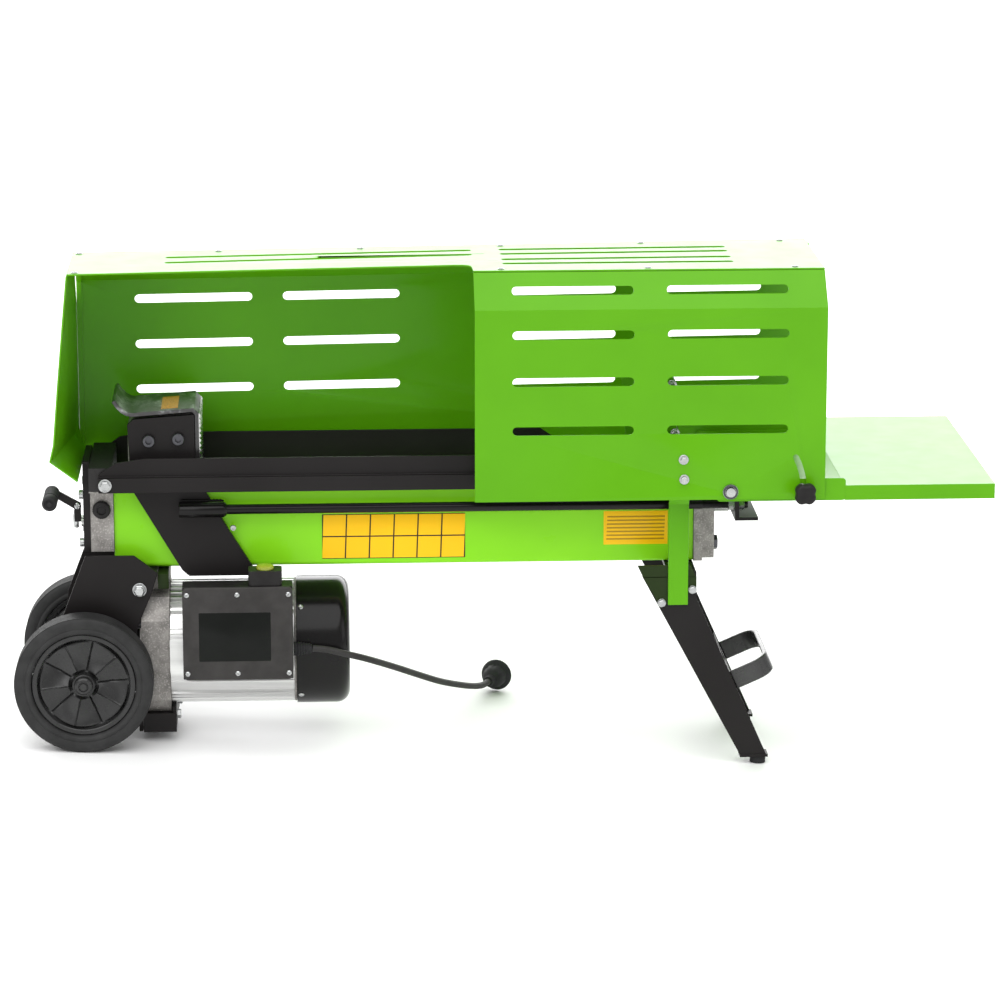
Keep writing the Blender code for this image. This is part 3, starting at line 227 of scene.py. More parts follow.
ZINC = metal("zinc_plate", "zinc_steel", (0.52, 0.53, 0.53), 0.26)


def lattice(rows, columns, wrap=True):
    """Quads of a grid of points: row by row, and round again where wrap is set."""
    r, c = np.meshgrid(np.arange(rows - 1), np.arange(columns if wrap else columns - 1), indexing="ij")
    nxt = (c + 1) % columns
    return np.stack((r * columns + c, r * columns + nxt, (r + 1) * columns + nxt, (r + 1) * columns + c),
                    -1).reshape(-1, 4).tolist()


def lathed(profile, steps=48, ripple=None):
    """Round X: each (radius, place along X) of the profile goes round in a circle. ripple scales the
    radius or shifts the place by a function of the angle."""
    radius, along = np.array(profile, float).T
    angle = np.linspace(0, 2 * pi, steps, endpoint=False)
    r, a = np.meshgrid(radius, angle, indexing="ij")
    x = np.repeat(along[:, None], steps, 1)
    if ripple:
        x, r = ripple(x, r, a)
    points = np.stack((x, r * np.cos(a), r * np.sin(a)), -1).reshape(-1, 3)
    faces = lattice(len(radius), steps)
    for row in (0, len(radius) - 1):
        if radius[row] > 1e-7:
            faces.append([row * steps + i for i in range(steps)])
    return points, faces


def moved(shape, at=(0, 0, 0), to=(1, 0, 0), spin=0.0):
    """A shape made along X, turned to face another way, spun about that way and put in its place."""
    turn = (Vector((1, 0, 0)).rotation_difference(Vector(to)).to_matrix() @ Matrix.Rotation(spin, 3, "X"))
    return shape[0] @ np.array(turn).T + np.array(at), shape[1]


def ease(made, width, segments=2):
    """Rounds the sharp edges a little, as filing or a coat of paint does."""
    rounding = made.modifiers.new("eased_edges", "BEVEL")
    rounding.width, rounding.segments, rounding.limit_method = width, segments, "ANGLE"
    rounding.angle_limit, rounding.harden_normals = radians(28), True
    return made


def finished(name, mesh, finish, body, node):
    piece = bpy.data.objects.new(name, mesh)
    bpy.context.scene.collection.objects.link(piece)
    mesh.materials.clear()
    mesh.materials.append(finish.material)
    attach(piece, body)
    for one in ([node] if isinstance(node, str) else node or []):
        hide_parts(one)
    return piece


def piece(name, shapes, finish, body="frame", node=None, slot=None, angle=32):
    """One object from shapes in the machine's axes: each is joined at its seams, closed and turned
    outwards on its own, then all are set on the ground."""
    whole = bmesh.new()
    for points, faces in shapes:
        loose = bpy.data.meshes.new("loose")
        loose.from_pydata(on_ground(points).tolist(), [], faces)
        part = bmesh.new()
        part.from_mesh(loose)
        bmesh.ops.remove_doubles(part, verts=part.verts, dist=2e-6)
        bmesh.ops.recalc_face_normals(part, faces=part.faces)
        part.to_mesh(loose)
        part.free()
        whole.from_mesh(loose)
        bpy.data.meshes.remove(loose)
    mesh = bpy.data.meshes.new(name)
    whole.to_mesh(mesh)
    whole.free()
    mesh.shade_smooth()
    mesh.set_sharp_from_angle(angle=radians(angle))
    return finished(name, mesh, finish, body, node)


LEAD_ROUTE = ((-0.2232, -0.1350, 0.1315), (-0.2063, -0.1350, 0.1303), (-0.1847, -0.1330, 0.1252),
              (-0.1639, -0.1210, 0.1175), (-0.1414, -0.0990, 0.1055), (-0.1160, -0.0690, 0.0898),
              (-0.0900, -0.0330, 0.0717), (-0.0635, 0.0050, 0.0536), (-0.0392, 0.0430, 0.0388),
              (-0.0213, 0.0730, 0.0286), (-0.0090, 0.0960, 0.0226), (-0.0020, 0.1110, 0.0204),
              (0.0025, 0.1230, 0.0202))
LEAD_RADIUS = 0.004


def rounded_route(points, steps):
    """Catmull-Rom: between two points the curve is a cubic that leaves each one parallel to the line
    between its neighbours."""
    p = np.array(points, float)
    p = np.vstack((2 * p[0] - p[1], p, 2 * p[-1] - p[-2]))
    a, b, c, d = (p[i:len(p) - 3 + i, None] for i in range(4))
    t = np.linspace(0, 1, steps, endpoint=False)[None, :, None]
    way = 0.5 * (2 * b + (c - a) * t + (2 * a - 5 * b + 4 * c - d) * t ** 2
                 + (3 * b - a - 3 * c + d) * t ** 3)
    return np.vstack((way.reshape(-1, 3), p[-2]))


route = rounded_route(LEAD_ROUTE, 4)
sheath = bpy.data.curves.new("power_lead", "CURVE")
sheath.dimensions, sheath.bevel_depth, sheath.bevel_resolution = "3D", LEAD_RADIUS, 5
sheath.use_fill_caps = True
spline = sheath.splines.new("POLY")
spline.points.add(len(route) - 1)
spline.points.foreach_set("co", np.pad(route, ((0, 0), (0, 1)), constant_values=1).ravel())
spline.use_smooth = True
LEAD_RUBBER = moulded("lead_rubber", "soft_rubber", (0.030, 0.029, 0.028), 0.52, 0.0006, 0.00002)
lead = bpy.data.objects.new("power_lead", sheath)
bpy.context.scene.collection.objects.link(lead)
sheath.materials.append(LEAD_RUBBER.material)
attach(lead, "frame")
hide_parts("power_cord")

BOX_RIGHT = -0.252
boot_rings = [(0.0058 + 0.0027 * (1 - s) + (0.0006 if i % 2 else -0.0005), 0.0045 + 0.0165 * s)
              for i, s in enumerate(np.linspace(0, 1, 11))]
boot = lathed([(0, 0.0224), (0.0048, 0.0224), (0.0056, 0.0215)] + boot_rings[::-1]
              + [(0.0085, 0.0042), (0.0085, 0.0004), (0, 0.0004)], 32)
piece("lead_boot", [moved(boot, (BOX_RIGHT, -0.094, -0.157))], RUBBER, node="cable_boot")


def plug_ripple(x, r, a):
    """Finger grips: eight shallow flutes along the barrel."""
    held = (x > 0.016) & (x < 0.033) & (r > 0.011)
    return x, r - 0.0007 * held * (0.5 + 0.5 * np.cos(8 * a)) ** 3


barrel = [(0.0052, 0.0003), (0.0062, 0.0012), (0.0060, 0.003), (0.0066, 0.0045), (0.0063, 0.006),
          (0.0070, 0.0075), (0.0068, 0.009), (0.0105, 0.013), (0.0128, 0.017), (0.0140, 0.023),
          (0.0150, 0.029), (0.0185, 0.0325), (0.0196, 0.0345), (0.0196, 0.0365), (0.0188, 0.0374),
          (0.0150, 0.0374), (0.0142, 0.0366)]
plug_body = lathed([(0, 0.0366)] + barrel[::-1] + [(0, 0.0003)], 64, plug_ripple)
pin, pin_faces = lathed([(0, 0.0515), (0.0014, 0.0515), (0.0024, 0.0502), (0.0024, 0.0360), (0, 0.0360)], 20)
end_point, heading = np.array(LEAD_ROUTE[-1]), np.array((0.0045, 0.0120, 0)) / hypot(0.0045, 0.0120)


def laid(shape):
    """A shape along X laid where the lead ends, in line with it."""
    side = np.array((-heading[1], heading[0], 0))
    points = shape[0] @ np.array((heading, side, (0, 0, 1))) + end_point
    return (points - to_ground[:3, 3]) @ to_ground[:3, :3], shape[1]


plug = piece("plug_body", [laid(plug_body)], RUBBER, node="plug")
prongs = piece("plug_pins", [laid((pin + (0, y, 0), pin_faces)) for y in (-0.0095, 0.0095)], ZINC)

# ---------------------------------------------------------------- wheels
# Two solid-tyred wheels on a bare axle. The tyre is black rubber with rings moulded in its tread and
# a step on its side; the rim is one glossy moulding, a dished web stiffened by ten ribs round a hub.
TYRE = moulded("tyre_rubber", "tyre_rubber", (0.026, 0.026, 0.026), 0.55, 0.0010, 0.00005)


def hoop(profile, steps=48, ripple=None):
    """The same for a profile that closes on itself, such as a tyre's or a ring's."""
    points, faces = lathed(list(profile) + list(profile[:1]), steps, ripple)
    return points, [face for face in faces if len(face) == 4]


WHEEL_X, WHEEL_Z, TRACK = -0.502, -0.195, 0.095
TYRE_RADIUS, TREAD, RIM_RADIUS = 0.083, 0.018, 0.062
RIM_PLASTIC = moulded("rim_moulding", "black_plastic", (0.014, 0.014, 0.014), 0.26, 0.0010, 0.00001)
RIM_PLASTIC.set(Specular_IOR_Level=0.45)
RIM_SPIN = 0.12 + radians(-12)


def tread_grooves():
    """From one shoulder to the other: seven ribs with square grooves between them."""
    edge, depth, count = 0.0145, 0.0011, 7
    places = np.linspace(edge, -edge, count * 2)
    out = []
    for i in range(count):
        wide = abs(places[0] - places[1]) * 0.62
        start, end = places[2 * i:2 * i + 2]
        out += [(TYRE_RADIUS - depth, start + wide), (TYRE_RADIUS - 0.0002, start + 0.9 * wide),
                (TYRE_RADIUS - 0.0002, end), (TYRE_RADIUS - depth, end)]
    return [(r, max(-edge - 0.0004, min(edge + 0.0004, x))) for r, x in out]


wall = [(RIM_RADIUS + out, TREAD - back) for out, back in (
    (0.0004, 0.0050), (0.0012, 0.0022), (0.0030, 0.0004), (0.0052, 0.0), (0.0070, 0.0006), (0.0078, 0.0013),
    (0.0090, 0.0008), (0.0130, 0.0003))]
wall += [(TYRE_RADIUS - down, TREAD - back) for down, back in (
    (0.0048, 0.0006), (0.0024, 0.0016), (0.0010, 0.0030))]
tyre_profile = wall + tread_grooves() + [(r, -x) for r, x in reversed(wall)]
tyre = hoop(tyre_profile, 96)


def pleats(x, r, a):
    """Ten flat facets between hub and rim, tilted to and fro: the face rises and falls as a triangle
    wave five times round, with a narrow rib along every crest and a groove along every valley."""
    wave = np.abs((5 * a / (2 * pi)) % 1 - 0.5) * 2
    web = np.clip((r - 0.0155) / 0.0030, 0, 1) * np.clip((0.0535 - r) / 0.0020, 0, 1) * (np.abs(x) < 0.0139)
    arc = 2 * pi / 10 * r
    crest, valley = np.clip(1 - (1 - wave) * arc / 0.0011, 0, 1), np.clip(1 - wave * arc / 0.0012, 0, 1)
    return np.sign(x) * (np.abs(x) + web * (0.0066 * wave + 0.0009 * crest - 0.0014 * valley)), r


rim_face = [(0.0084, 0.0152), (0.0118, 0.0156), (0.0132, 0.0150), (0.0138, 0.0138)]
rim_face += [(r, 0.0046 + 0.0026 * ((r - 0.034) / 0.02) ** 2) for r in np.linspace(0.0150, 0.0535, 24)]
rim_face += [(0.0548, 0.0090), (0.0556, 0.0118), (0.0566, 0.0126), (0.0590, 0.0128), (0.0608, 0.0130),
             (0.0617, 0.0126)]
rim = hoop(rim_face + [(r, -x) for r, x in reversed(rim_face)], 240, pleats)
for side, sign in (("near", -1), ("far", 1)):
    centre = (WHEEL_X, sign * TRACK, WHEEL_Z)
    piece(f"tyre_ring_{side}", [moved(tyre, centre, (0, 1, 0))], TYRE, f"wheel_{side}", f"tyre_{side}",
          "tyre_rubber", 40)
    piece(f"rim_disc_{side}", [moved(rim, centre, (0, 1, 0), RIM_SPIN)], RIM_PLASTIC, f"wheel_{side}",
          f"rim_{side}", "black_plastic", 14)

shaft = lathed([(0, 0.1110), (0.0080, 0.1110), (0.0080, -0.1110), (0, -0.1110)], 32)
piece("axle_shaft", [moved(shaft, (WHEEL_X, 0, WHEEL_Z), (0, 1, 0))], ZINC, node="axle")
cap_face = [(0, 0.0058), (0.0040, 0.0058), (0.0046, 0.0044), (0.0052, 0.0044), (0.0060, 0.0056),
            (0.0086, 0.0052), (0.0104, 0.0036), (0.0110, 0.0010), (0.0110, 0), (0, 0)]
end_caps = [moved(lathed(cap_face, 40), (WHEEL_X, sign * 0.1113, WHEEL_Z), (0, sign, 0)) for sign in (-1, 1)]
piece("axle_caps", end_caps, RIM_PLASTIC)

# ---------------------------------------------------------------- wheel brackets
# Folded black sheet on each side of the valve block: a vertical cheek with the axle hole and a
# flange under the beam. Each is held by a bolt, and a small tab is welded behind it, its green coat
# darkened as painted shade.


def coated(name, slot, colour, other, roughness, coat, peel=0.00002):
    """Stoved powder coat: faint orange peel, a little uneven in gloss and depth of colour."""
    paint = Finish(name, slot, Coat_Weight=coat, Coat_Roughness=0.16, Specular_IOR_Level=0.14)
    cloud, speck = paint.noise(0.12, 3.0), paint.noise(0.0016)
    paint.set(Base_Color=paint.mix(cloud.to(0.3, 0.7), colour, other),
              Roughness=roughness - 0.04 + 0.10 * paint.noise(0.03, 3.0))
    return paint.raise_by(speck + 0.6 * paint.noise(0.0045), peel)


BLACK = coated("black_powder_coat", "black_coat", (0.0110, 0.0095, 0.0095), (0.0155, 0.0138, 0.0138),
               0.38, 0.02, 0.00004)


def brick(low, high, r=0.001, steps=2):
    """Box with rounded edges: each point is a corner of the inner box plus r times a direction that
    goes once round the corner's eighth of a ball."""
    low, high = np.array(low, float), np.array(high, float)
    centre, half = (low + high) / 2, (high - low) / 2 - r
    turn = np.concatenate([q * pi / 2 + np.linspace(0, pi / 2, steps + 1) for q in range(4)])
    side = np.repeat([[1, 1], [-1, 1], [-1, -1], [1, -1]], steps + 1, 0)
    rise = np.concatenate([np.linspace(-pi / 2, 0, steps + 1), np.linspace(0, pi / 2, steps + 1)])
    up = np.repeat([-1, 1], steps + 1)
    e, t = np.meshgrid(rise, turn, indexing="ij")
    ball = np.stack((np.cos(e) * np.cos(t), np.cos(e) * np.sin(t), np.sin(e)), -1)
    corner = np.empty(ball.shape)
    corner[..., :2], corner[..., 2] = side, up[:, None]
    points = (centre + corner * half + r * ball).reshape(-1, 3)
    n = len(turn)
    faces = lattice(len(rise), n) + [list(range(n)), list(range((len(rise) - 1) * n, len(rise) * n))]
    return points, faces


def eased(node, finish, width=0.0006, body="frame", segments=2, joined=True):
    """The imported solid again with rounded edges; joined says that its triangles become flat faces
    first, which a sheet with slots doesn't need."""
    mesh = frame["nodes"][node].data.copy()
    solid = bmesh.new()
    solid.from_mesh(mesh)
    bmesh.ops.remove_doubles(solid, verts=solid.verts, dist=1e-5)
    if joined:
        bmesh.ops.dissolve_limit(solid, angle_limit=radians(1.0), verts=solid.verts, edges=solid.edges)
    solid.to_mesh(mesh)
    solid.free()
    mesh.shade_smooth()
    mesh.set_sharp_from_angle(angle=radians(32))
    return ease(finished(node + "_body", mesh, finish, body, node), width, segments)


def hexagon(across, height, washer=0.0, thread=0.0):
    """Hexagon head or nut standing on X = 0: chamfered crown, washer face and the thread's end."""
    r = across / 2 / cos(pi / 6)
    base = 0.0012 if washer else 0.0
    top = base + height
    parts = [lathed([(0, top), (0.8 * r, top), (r, base + 0.84 * height), (r, base), (0, base)], 6)]
    if washer:
        rim_at = washer - 0.0003
        parts.append(lathed([(0, base), (rim_at, base), (washer, base - 0.0003), (washer, 0), (0, 0)], 28))
    if thread:
        end = top + thread
        parts.append(lathed([(0, end), (0.36 * across, end), (0.42 * across, end - 0.0006),
                             (0.42 * across, top), (0, top)], 16))
    return parts


def each(shapes, places, to, spin=0.0):
    """The same little shape at every place."""
    return [moved(shape, place, to, spin + 0.7 * i) for i, place in enumerate(places) for shape in shapes]


for side, sign in (("near", -1), ("far", 1)):
    eased(f"wheel_bracket_{side}", BLACK, 0.0008)
bracket_bolts = each(hexagon(0.0130, 0.0055, 0.0085, 0.003), [(-0.435, -0.0642, -0.090)], (0, -1, 0))
bracket_bolts += each(hexagon(0.0130, 0.0055, 0.0085, 0.003), [(-0.435, 0.0642, -0.090)], (0, 1, 0))
piece("bracket_bolts", bracket_bolts, ZINC)
# Painted shade: the green coat made dark for the shade behind the brackets and between beam and legs.
SHADE_GREEN = coated("shaded_green_coat", "green_coat", (0.014, 0.026, 0.005), (0.020, 0.038, 0.007),
                    0.45, 0.05)
# The tab's dark green is painted shade.
tab = [brick((-0.4135, -0.052, -0.0925), (-0.4005, 0.052, -0.0735), 0.0008)]
piece("beam_tab", tab, SHADE_GREEN)

# ---------------------------------------------------------------- valve block and its end plate
# A machined block of cast aluminium between beam and end plate, with a filler plug on its side. The
# end plate is black sheet; lever, spool and bleed screw sit in front of it.
PLASTIC = moulded("black_moulding", "black_plastic", (0.014, 0.013, 0.013), 0.40)
STEEL = metal("ground_steel", "ground_steel", (0.62, 0.62, 0.61), 0.24, (0.05, 1, 1))


def casting(name, colour, roughness=0.62, black_shade_above=None):
    """Sand-cast aluminium: pitted skin, darker in its hollows, with brighter rubbed specks. Above a given
    height over the ground it can be painted black, as painted shade."""
    stuff = Finish(name, "cast_aluminium", Metallic=0.55)
    pits = stuff.noise(0.0022, 5.0)
    dark, pale = tuple(c * 0.55 for c in colour), tuple(min(1, c * 1.35) for c in colour)
    body = stuff.mix(stuff.noise(0.015, 4.0).to(0.3, 0.7), dark, colour)
    skin = stuff.mix(pits.to(0.52, 0.72), body, pale)
    if black_shade_above:
        # Painted shade: black above this height stands for the shade of the plate above and for the black
        # bracket in front.
        shade_share = (stuff.axis("Z") + 0.002 * stuff.noise(0.006)).to(black_shade_above, black_shade_above + 0.0008)
        skin = stuff.mix(shade_share, skin, (0.0110, 0.0095, 0.0095))
        stuff.set(Metallic=0.55 * (1 - shade_share))
    stuff.set(Base_Color=skin, Roughness=roughness - 0.08 + 0.2 * stuff.noise(0.003))
    return stuff.raise_by(pits + 0.5 * stuff.noise(0.0009), 0.0002)


def repaint(node, finish):
    """A solid whose shape is right keeps it and gets its finish."""
    mesh = frame["nodes"][node].data
    mesh.materials.clear()
    mesh.materials.append(finish.material)


def socket_head(radius, height):
    """Cap screw with a hexagon socket: an outer drum and a six-sided recess."""
    deep, key = 0.55 * height, 0.52 * radius
    return [lathed([(0, height - deep), (key, height - deep), (key, height), (radius - 0.0005, height),
                    (radius, height - 0.0006), (radius, 0), (0, 0)], 24)]


def domed(radius, height):
    """Domed screw head with a cross recess pressed in: the recess is a four-armed dip."""
    def cross(x, r, a):
        arm = np.abs(np.cos(2 * a)) ** 6
        dip = np.where(r < 0.6 * radius, 1.0, 0.0) * (0.35 + 0.65 * arm)
        return x - dip * 0.35 * height * (x > 0.6 * height), r
    lift = [(0, 1.0), (0.25, 0.98), (0.5, 0.92), (0.62, 0.88), (0.85, 0.6), (1.0, 0.25), (1.0, 0), (0, 0)]
    return [lathed([(radius * r, height * h) for r, h in lift], 16, cross)]


# Painted shade: the casting is painted black above the foot of its ears, where the plate above shades it.
ear_foot = float(on_ground([(-0.479, 0, 0.0325)])[0][2])
BLOCK_CAST = casting("block_casting", (0.40, 0.38, 0.36), black_shade_above=ear_foot)
eased("valve_block", BLOCK_CAST, 0.0012, segments=3)
eased("end_plate", BLACK, 0.0008)


def knurl(x, r, a):
    """Twenty-four shallow notches round the cap."""
    return x, r - 0.0004 * (r > 0.0100) * (0.5 + 0.5 * np.cos(24 * a))


cap = lathed([(0, 0.0042), (0.0050, 0.0042), (0.0056, 0.0064), (0.0088, 0.0064), (0.0098, 0.0058),
              (0.0108, 0.0044), (0.0110, 0.0030), (0.0110, 0.0002), (0, 0.0002)], 96, knurl)
piece("filler_cap", [moved(cap, (-0.479, -0.0452, 0.005), (0, -1, 0))], PLASTIC, node="filler_plug")
block_screws = each(hexagon(0.0110, 0.0046, 0.0080), [(-0.4725, -0.0813, 0.0425)], (0, -1, 0))
block_screws += each(hexagon(0.0110, 0.0046, 0.0080), [(-0.4725, 0.0813, 0.0425)], (0, 1, 0))
plate_left = -0.5013
plate_places = [(plate_left, y, z) for y in (-0.037, 0.037) for z in (-0.037, 0.022)]
block_screws += each(socket_head(0.0055, 0.0050), plate_places, (-1, 0, 0))
piece("block_screws", block_screws, ZINC)


def grip_ring(x, r, a):
    """A narrow groove every 5.2 mm along the grip."""
    return x, r - 0.0004 * (r > 0.0080) * ((x % 0.0052) < 0.0016)


grip_face = [(0, 0.0640), (0.0028, 0.0640), (0.0034, 0.0618), (0.0052, 0.0622), (0.0066, 0.0640),
             (0.0082, 0.0628), (0.0090, 0.0606), (0.0090, 0.0460), (0.0084, 0.0452), (0.0084, 0.0440),
             (0.0090, 0.0432)]
grip_face += [(0.0090, x) for x in np.linspace(0.0420, 0.0040, 40)] + [(0.0082, 0.0006), (0, 0.0004)]
grip = lathed(grip_face, 40, grip_ring)
piece("lever_handgrip", [moved(grip, (-0.538, -0.0300, 0.0235), (0, -1, 0))], RUBBER, "lever", "lever_grip")
eased("control_lever", BLACK, 0.0006, "lever")
lever_pin = each(domed(0.0042, 0.0022), [(-0.508, -0.0302, 0.006)], (0, -1, 0))
piece("lever_rivet", lever_pin, ZINC, "lever")
repaint("valve_spool", STEEL)


def star(x, r, a):
    """Six scoops round the head of the bleed screw."""
    return x, r * np.where(r > 0.0095, 1 - 0.07 * (0.5 + 0.5 * np.cos(6 * a)), 1)


bleed = lathed([(0, 0.0069), (0.0050, 0.0069), (0.0060, 0.0060), (0.0100, 0.0062), (0.0116, 0.0054),
                (0.0124, 0.0040), (0.0124, 0.0014), (0.0112, 0.0001), (0.0039, 0.0000), (0.0039, -0.0300),
                (0, -0.0300)], 72, star)
bleed_left = -0.5093
piece("bleed_knob", [moved(bleed, (bleed_left, 0.006, -0.018), (-1, 0, 0), 0.4)], ZINC, "bleed",
      "bleed_screw", "black_plastic")

# ---------------------------------------------------------------- beam
# The beam is a square steel tube, powder coated, that holds the ram and its oil. Two plain orange
# stickers show on its near side: one with empty boxes, one with rows of bars.
# Painted light: the beam wears the guard's green coat, painted lighter for the light thrown up on to it from
# the floor and the front.
LIT_BEAM_GREEN = coated("beam_green_painted_light", "green_coat", (0.230, 0.690, 0.0100), (0.260, 0.730, 0.0150),
                      0.28, 0.14)
eased("beam_tank", LIT_BEAM_GREEN, 0.0008)
repaint("cylinder_tube", STEEL)
repaint("piston", STEEL)
NEAR_FACE = -0.0402


def sticker(name, x0, x1, z0, z1, pattern):
    """A printed film a sixth of a millimetre thick on the beam's near side."""
    film = Finish(name, "green_coat", Coat_Weight=0.1, Coat_Roughness=0.2, Specular_IOR_Level=0.2)
    foot, middle = on_ground([(x0, 0, z0), (x0, 0, (z0 + z1) / 2)]).tolist()
    u = (film.axis("X") - middle[0]) * (1 / (x1 - x0))
    rise = along_beam.z / along_beam.x * (film.axis("X") - foot[0])
    v = (film.axis("Z") - rise - foot[2]) * (1 / (z1 - z0))
    film.set(Base_Color=film.mix(pattern(film, u, v), (1.00, 0.57, 0.003), (0.03, 0.02, 0.01)),
             Roughness=0.34 + 0.08 * film.noise(0.01))
    sheet = brick((x0, NEAR_FACE - 0.00018, z0), (x1, NEAR_FACE, z1), 0.00008)
    return piece(name, [sheet], film)


def boxes(film, u, v):
    """Six by two empty boxes: dark where a point is near the edge of its box."""
    def edge(t, count, width):
        part = (t * count).maths("FRACT", t * count)
        return (part - 0.5).maths("ABSOLUTE", part - 0.5) > 0.5 - width
    return (edge(u, 6, 0.03) + edge(v, 2, 0.03)).maths("MINIMUM", edge(u, 6, 0.03) + edge(v, 2, 0.03), 1.0)


def bars(film, u, v):
    """Rows of thin grey bars inside a margin."""
    row = (v * 9).maths("FRACT", v * 9)
    inside = (0.45 - (u - 0.5).maths("ABSOLUTE", u - 0.5)) > 0.0
    tall = (0.42 - (v - 0.5).maths("ABSOLUTE", v - 0.5)) > 0.0
    return 0.55 * inside * tall * ((0.22 - (row - 0.5).maths("ABSOLUTE", row - 0.5)) > 0.0)


sticker("box_sticker", -0.216, -0.044, -0.0605, -0.0055, boxes)
sticker("bar_sticker", 0.123, 0.2005, -0.0470, -0.0055, bars)

# ---------------------------------------------------------------- cylinder head and ram
# A cast head closes the beam at the table end; the ground rod slides through it and pushes out the
# cross bracket, which pulls the pusher along by two tie rods.
DARK_STEEL = metal("blacked_screw", "zinc_steel", (0.10, 0.10, 0.11), 0.36)
CAST = casting("sand_cast_aluminium", (0.40, 0.38, 0.36))
eased("cylinder_head", CAST, 0.0012, segments=3)
HEAD_RIGHT = 0.2574
head_places = [(HEAD_RIGHT, 0.029, 0.016), (HEAD_RIGHT, -0.029, 0.016), (HEAD_RIGHT, 0.029, -0.058)]
head_bolts = each(socket_head(0.0045, 0.0040), head_places, (1, 0, 0))
piece("head_bolts", head_bolts, DARK_STEEL)
wiper = hoop([(0.0138, 0.0022), (0.0165, 0.0022), (0.0175, 0.0012), (0.0175, 0.0), (0.0138, 0.0)], 48)
piece("rod_wiper", [moved(wiper, (HEAD_RIGHT, 0, -0.004))], RUBBER)
repaint("drain_plug", DARK_STEEL)
repaint("piston_rod", STEEL)

# ---------------------------------------------------------------- tie rods and cross bracket
# Two black rods run the length of the beam, welded into a sleeve on the pusher and bolted through
# an angle bracket in front of the ram, with zinc-plated nuts on their threaded ends.
GLOSS_BLACK = coated("black_enamel", "black_coat", (0.0050, 0.0045, 0.0045), (0.0070, 0.0065, 0.0065),
                     0.20, 0.16, 0.00002)


def swept(path, section):
    """A section of (across, up) points carried along a path, square to it, with flat ends."""
    path, section = np.array(path, float), np.array(section, float)
    ahead = np.gradient(path, axis=0)
    ahead /= np.linalg.norm(ahead, axis=1)[:, None]
    lift = np.linalg.svd(path - path.mean(0))[2][2]
    if abs(ahead @ lift).max() >= 0.7:
        lift = np.array([0, 0, 1.0])
    if abs(ahead @ lift).max() > 0.98:
        lift = np.array([0, 1.0, 0])
    across = np.cross(ahead, lift)
    across /= np.linalg.norm(across, axis=1)[:, None]
    up = np.cross(across, ahead)
    points = path[:, None] + section[None, :, :1] * across[:, None] + section[None, :, 1:] * up[:, None]
    rows, n = len(path), len(section)
    ends = [list(range(n)), list(range((rows - 1) * n, rows * n))]
    return points.reshape(-1, 3), lattice(rows, n) + ends


def disc(radius, n=12):
    """A round section."""
    angle = np.linspace(0, 2 * pi, n, endpoint=False)
    return np.stack((radius * np.cos(angle), radius * np.sin(angle)), -1)


ROD_Y, ROD_Z, BRACKET_X = 0.0598, 0.007, 0.2788


def thread(x, r, a):
    """A metric thread: the radius rises and falls once every 1.5 mm along the last 50 mm."""
    cut = (x > 0.2400) & (x < 0.2940) & (r > 0.004)
    return x, r - 0.0006 * cut * (0.5 + 0.5 * np.cos(2 * pi * x / 0.0015 - a))


def weld_bead(path, radius, ripples=0.004):
    """A weld: a round bead along a path whose radius swells at every ripple."""
    path = np.array(path, float)
    along = np.concatenate(([0], np.cumsum(np.linalg.norm(np.diff(path, axis=0), axis=1))))
    fine = np.linspace(0, along[-1], max(6, int(along[-1] / ripples * 4)))
    way = np.stack([np.interp(fine, along, path[:, i]) for i in range(3)], -1)
    points, faces = swept(way, disc(1.0, 8))
    centre = np.repeat(way, 8, 0)
    size = radius * (0.86 + 0.14 * np.cos(2 * pi * fine / ripples)) * np.minimum(1, 0.35 + np.minimum(
        fine, along[-1] - fine) / (2 * radius))
    return centre + (points - centre) * np.repeat(size, 8)[:, None], faces


rod = [(0, -0.3852), (0.0052, -0.3852), (0.0064, -0.3840), (0.0070, -0.3862), (0.0088, -0.3862),
       (0.0095, -0.3850), (0.0095, -0.3335), (0.0088, -0.3318), (0.0070, -0.3300), (0.0060, -0.3290),
       (0.0060, 0.2390)]
rod += [(0.0060, x) for x in np.arange(0.2400, 0.2940, 0.000375)] + [(0.0050, 0.2948), (0, 0.2948)]
tie = lathed(rod, 20, thread)
for side, sign in (("near", -1), ("far", 1)):
    y = sign * ROD_Y
    piece(f"tie_rod_bar_{side}", [moved(tie, (0, y, ROD_Z))], GLOSS_BLACK, "pusher", f"tie_rod_{side}",
          angle=30)
    nuts = each(hexagon(0.0130, 0.0075), [(BRACKET_X - 0.0003, y, ROD_Z)], (-1, 0, 0), 0.3)
    nuts += each(hexagon(0.0130, 0.0070), [(BRACKET_X + 0.0053, y, ROD_Z)], (1, 0, 0), 0.1)
    piece(f"tie_rod_nuts_{side}", nuts, ZINC, "pusher")
    beads = [weld_bead([(x, sign * 0.0512, ROD_Z + lift) for x in np.linspace(-0.385, -0.333, 12)], 0.0022)
             for lift in (-0.0088, 0.0088)]
    piece(f"sleeve_weld_{side}", beads, GLOSS_BLACK, "pusher")
eased("cross_bracket", BLACK, 0.0010, "pusher")
ram_bolt = each(hexagon(0.0170, 0.0070, 0.0105), [(BRACKET_X + 0.0052, 0, 0.004)], (1, 0, 0))
piece("ram_bolt", ram_bolt, ZINC, "pusher")
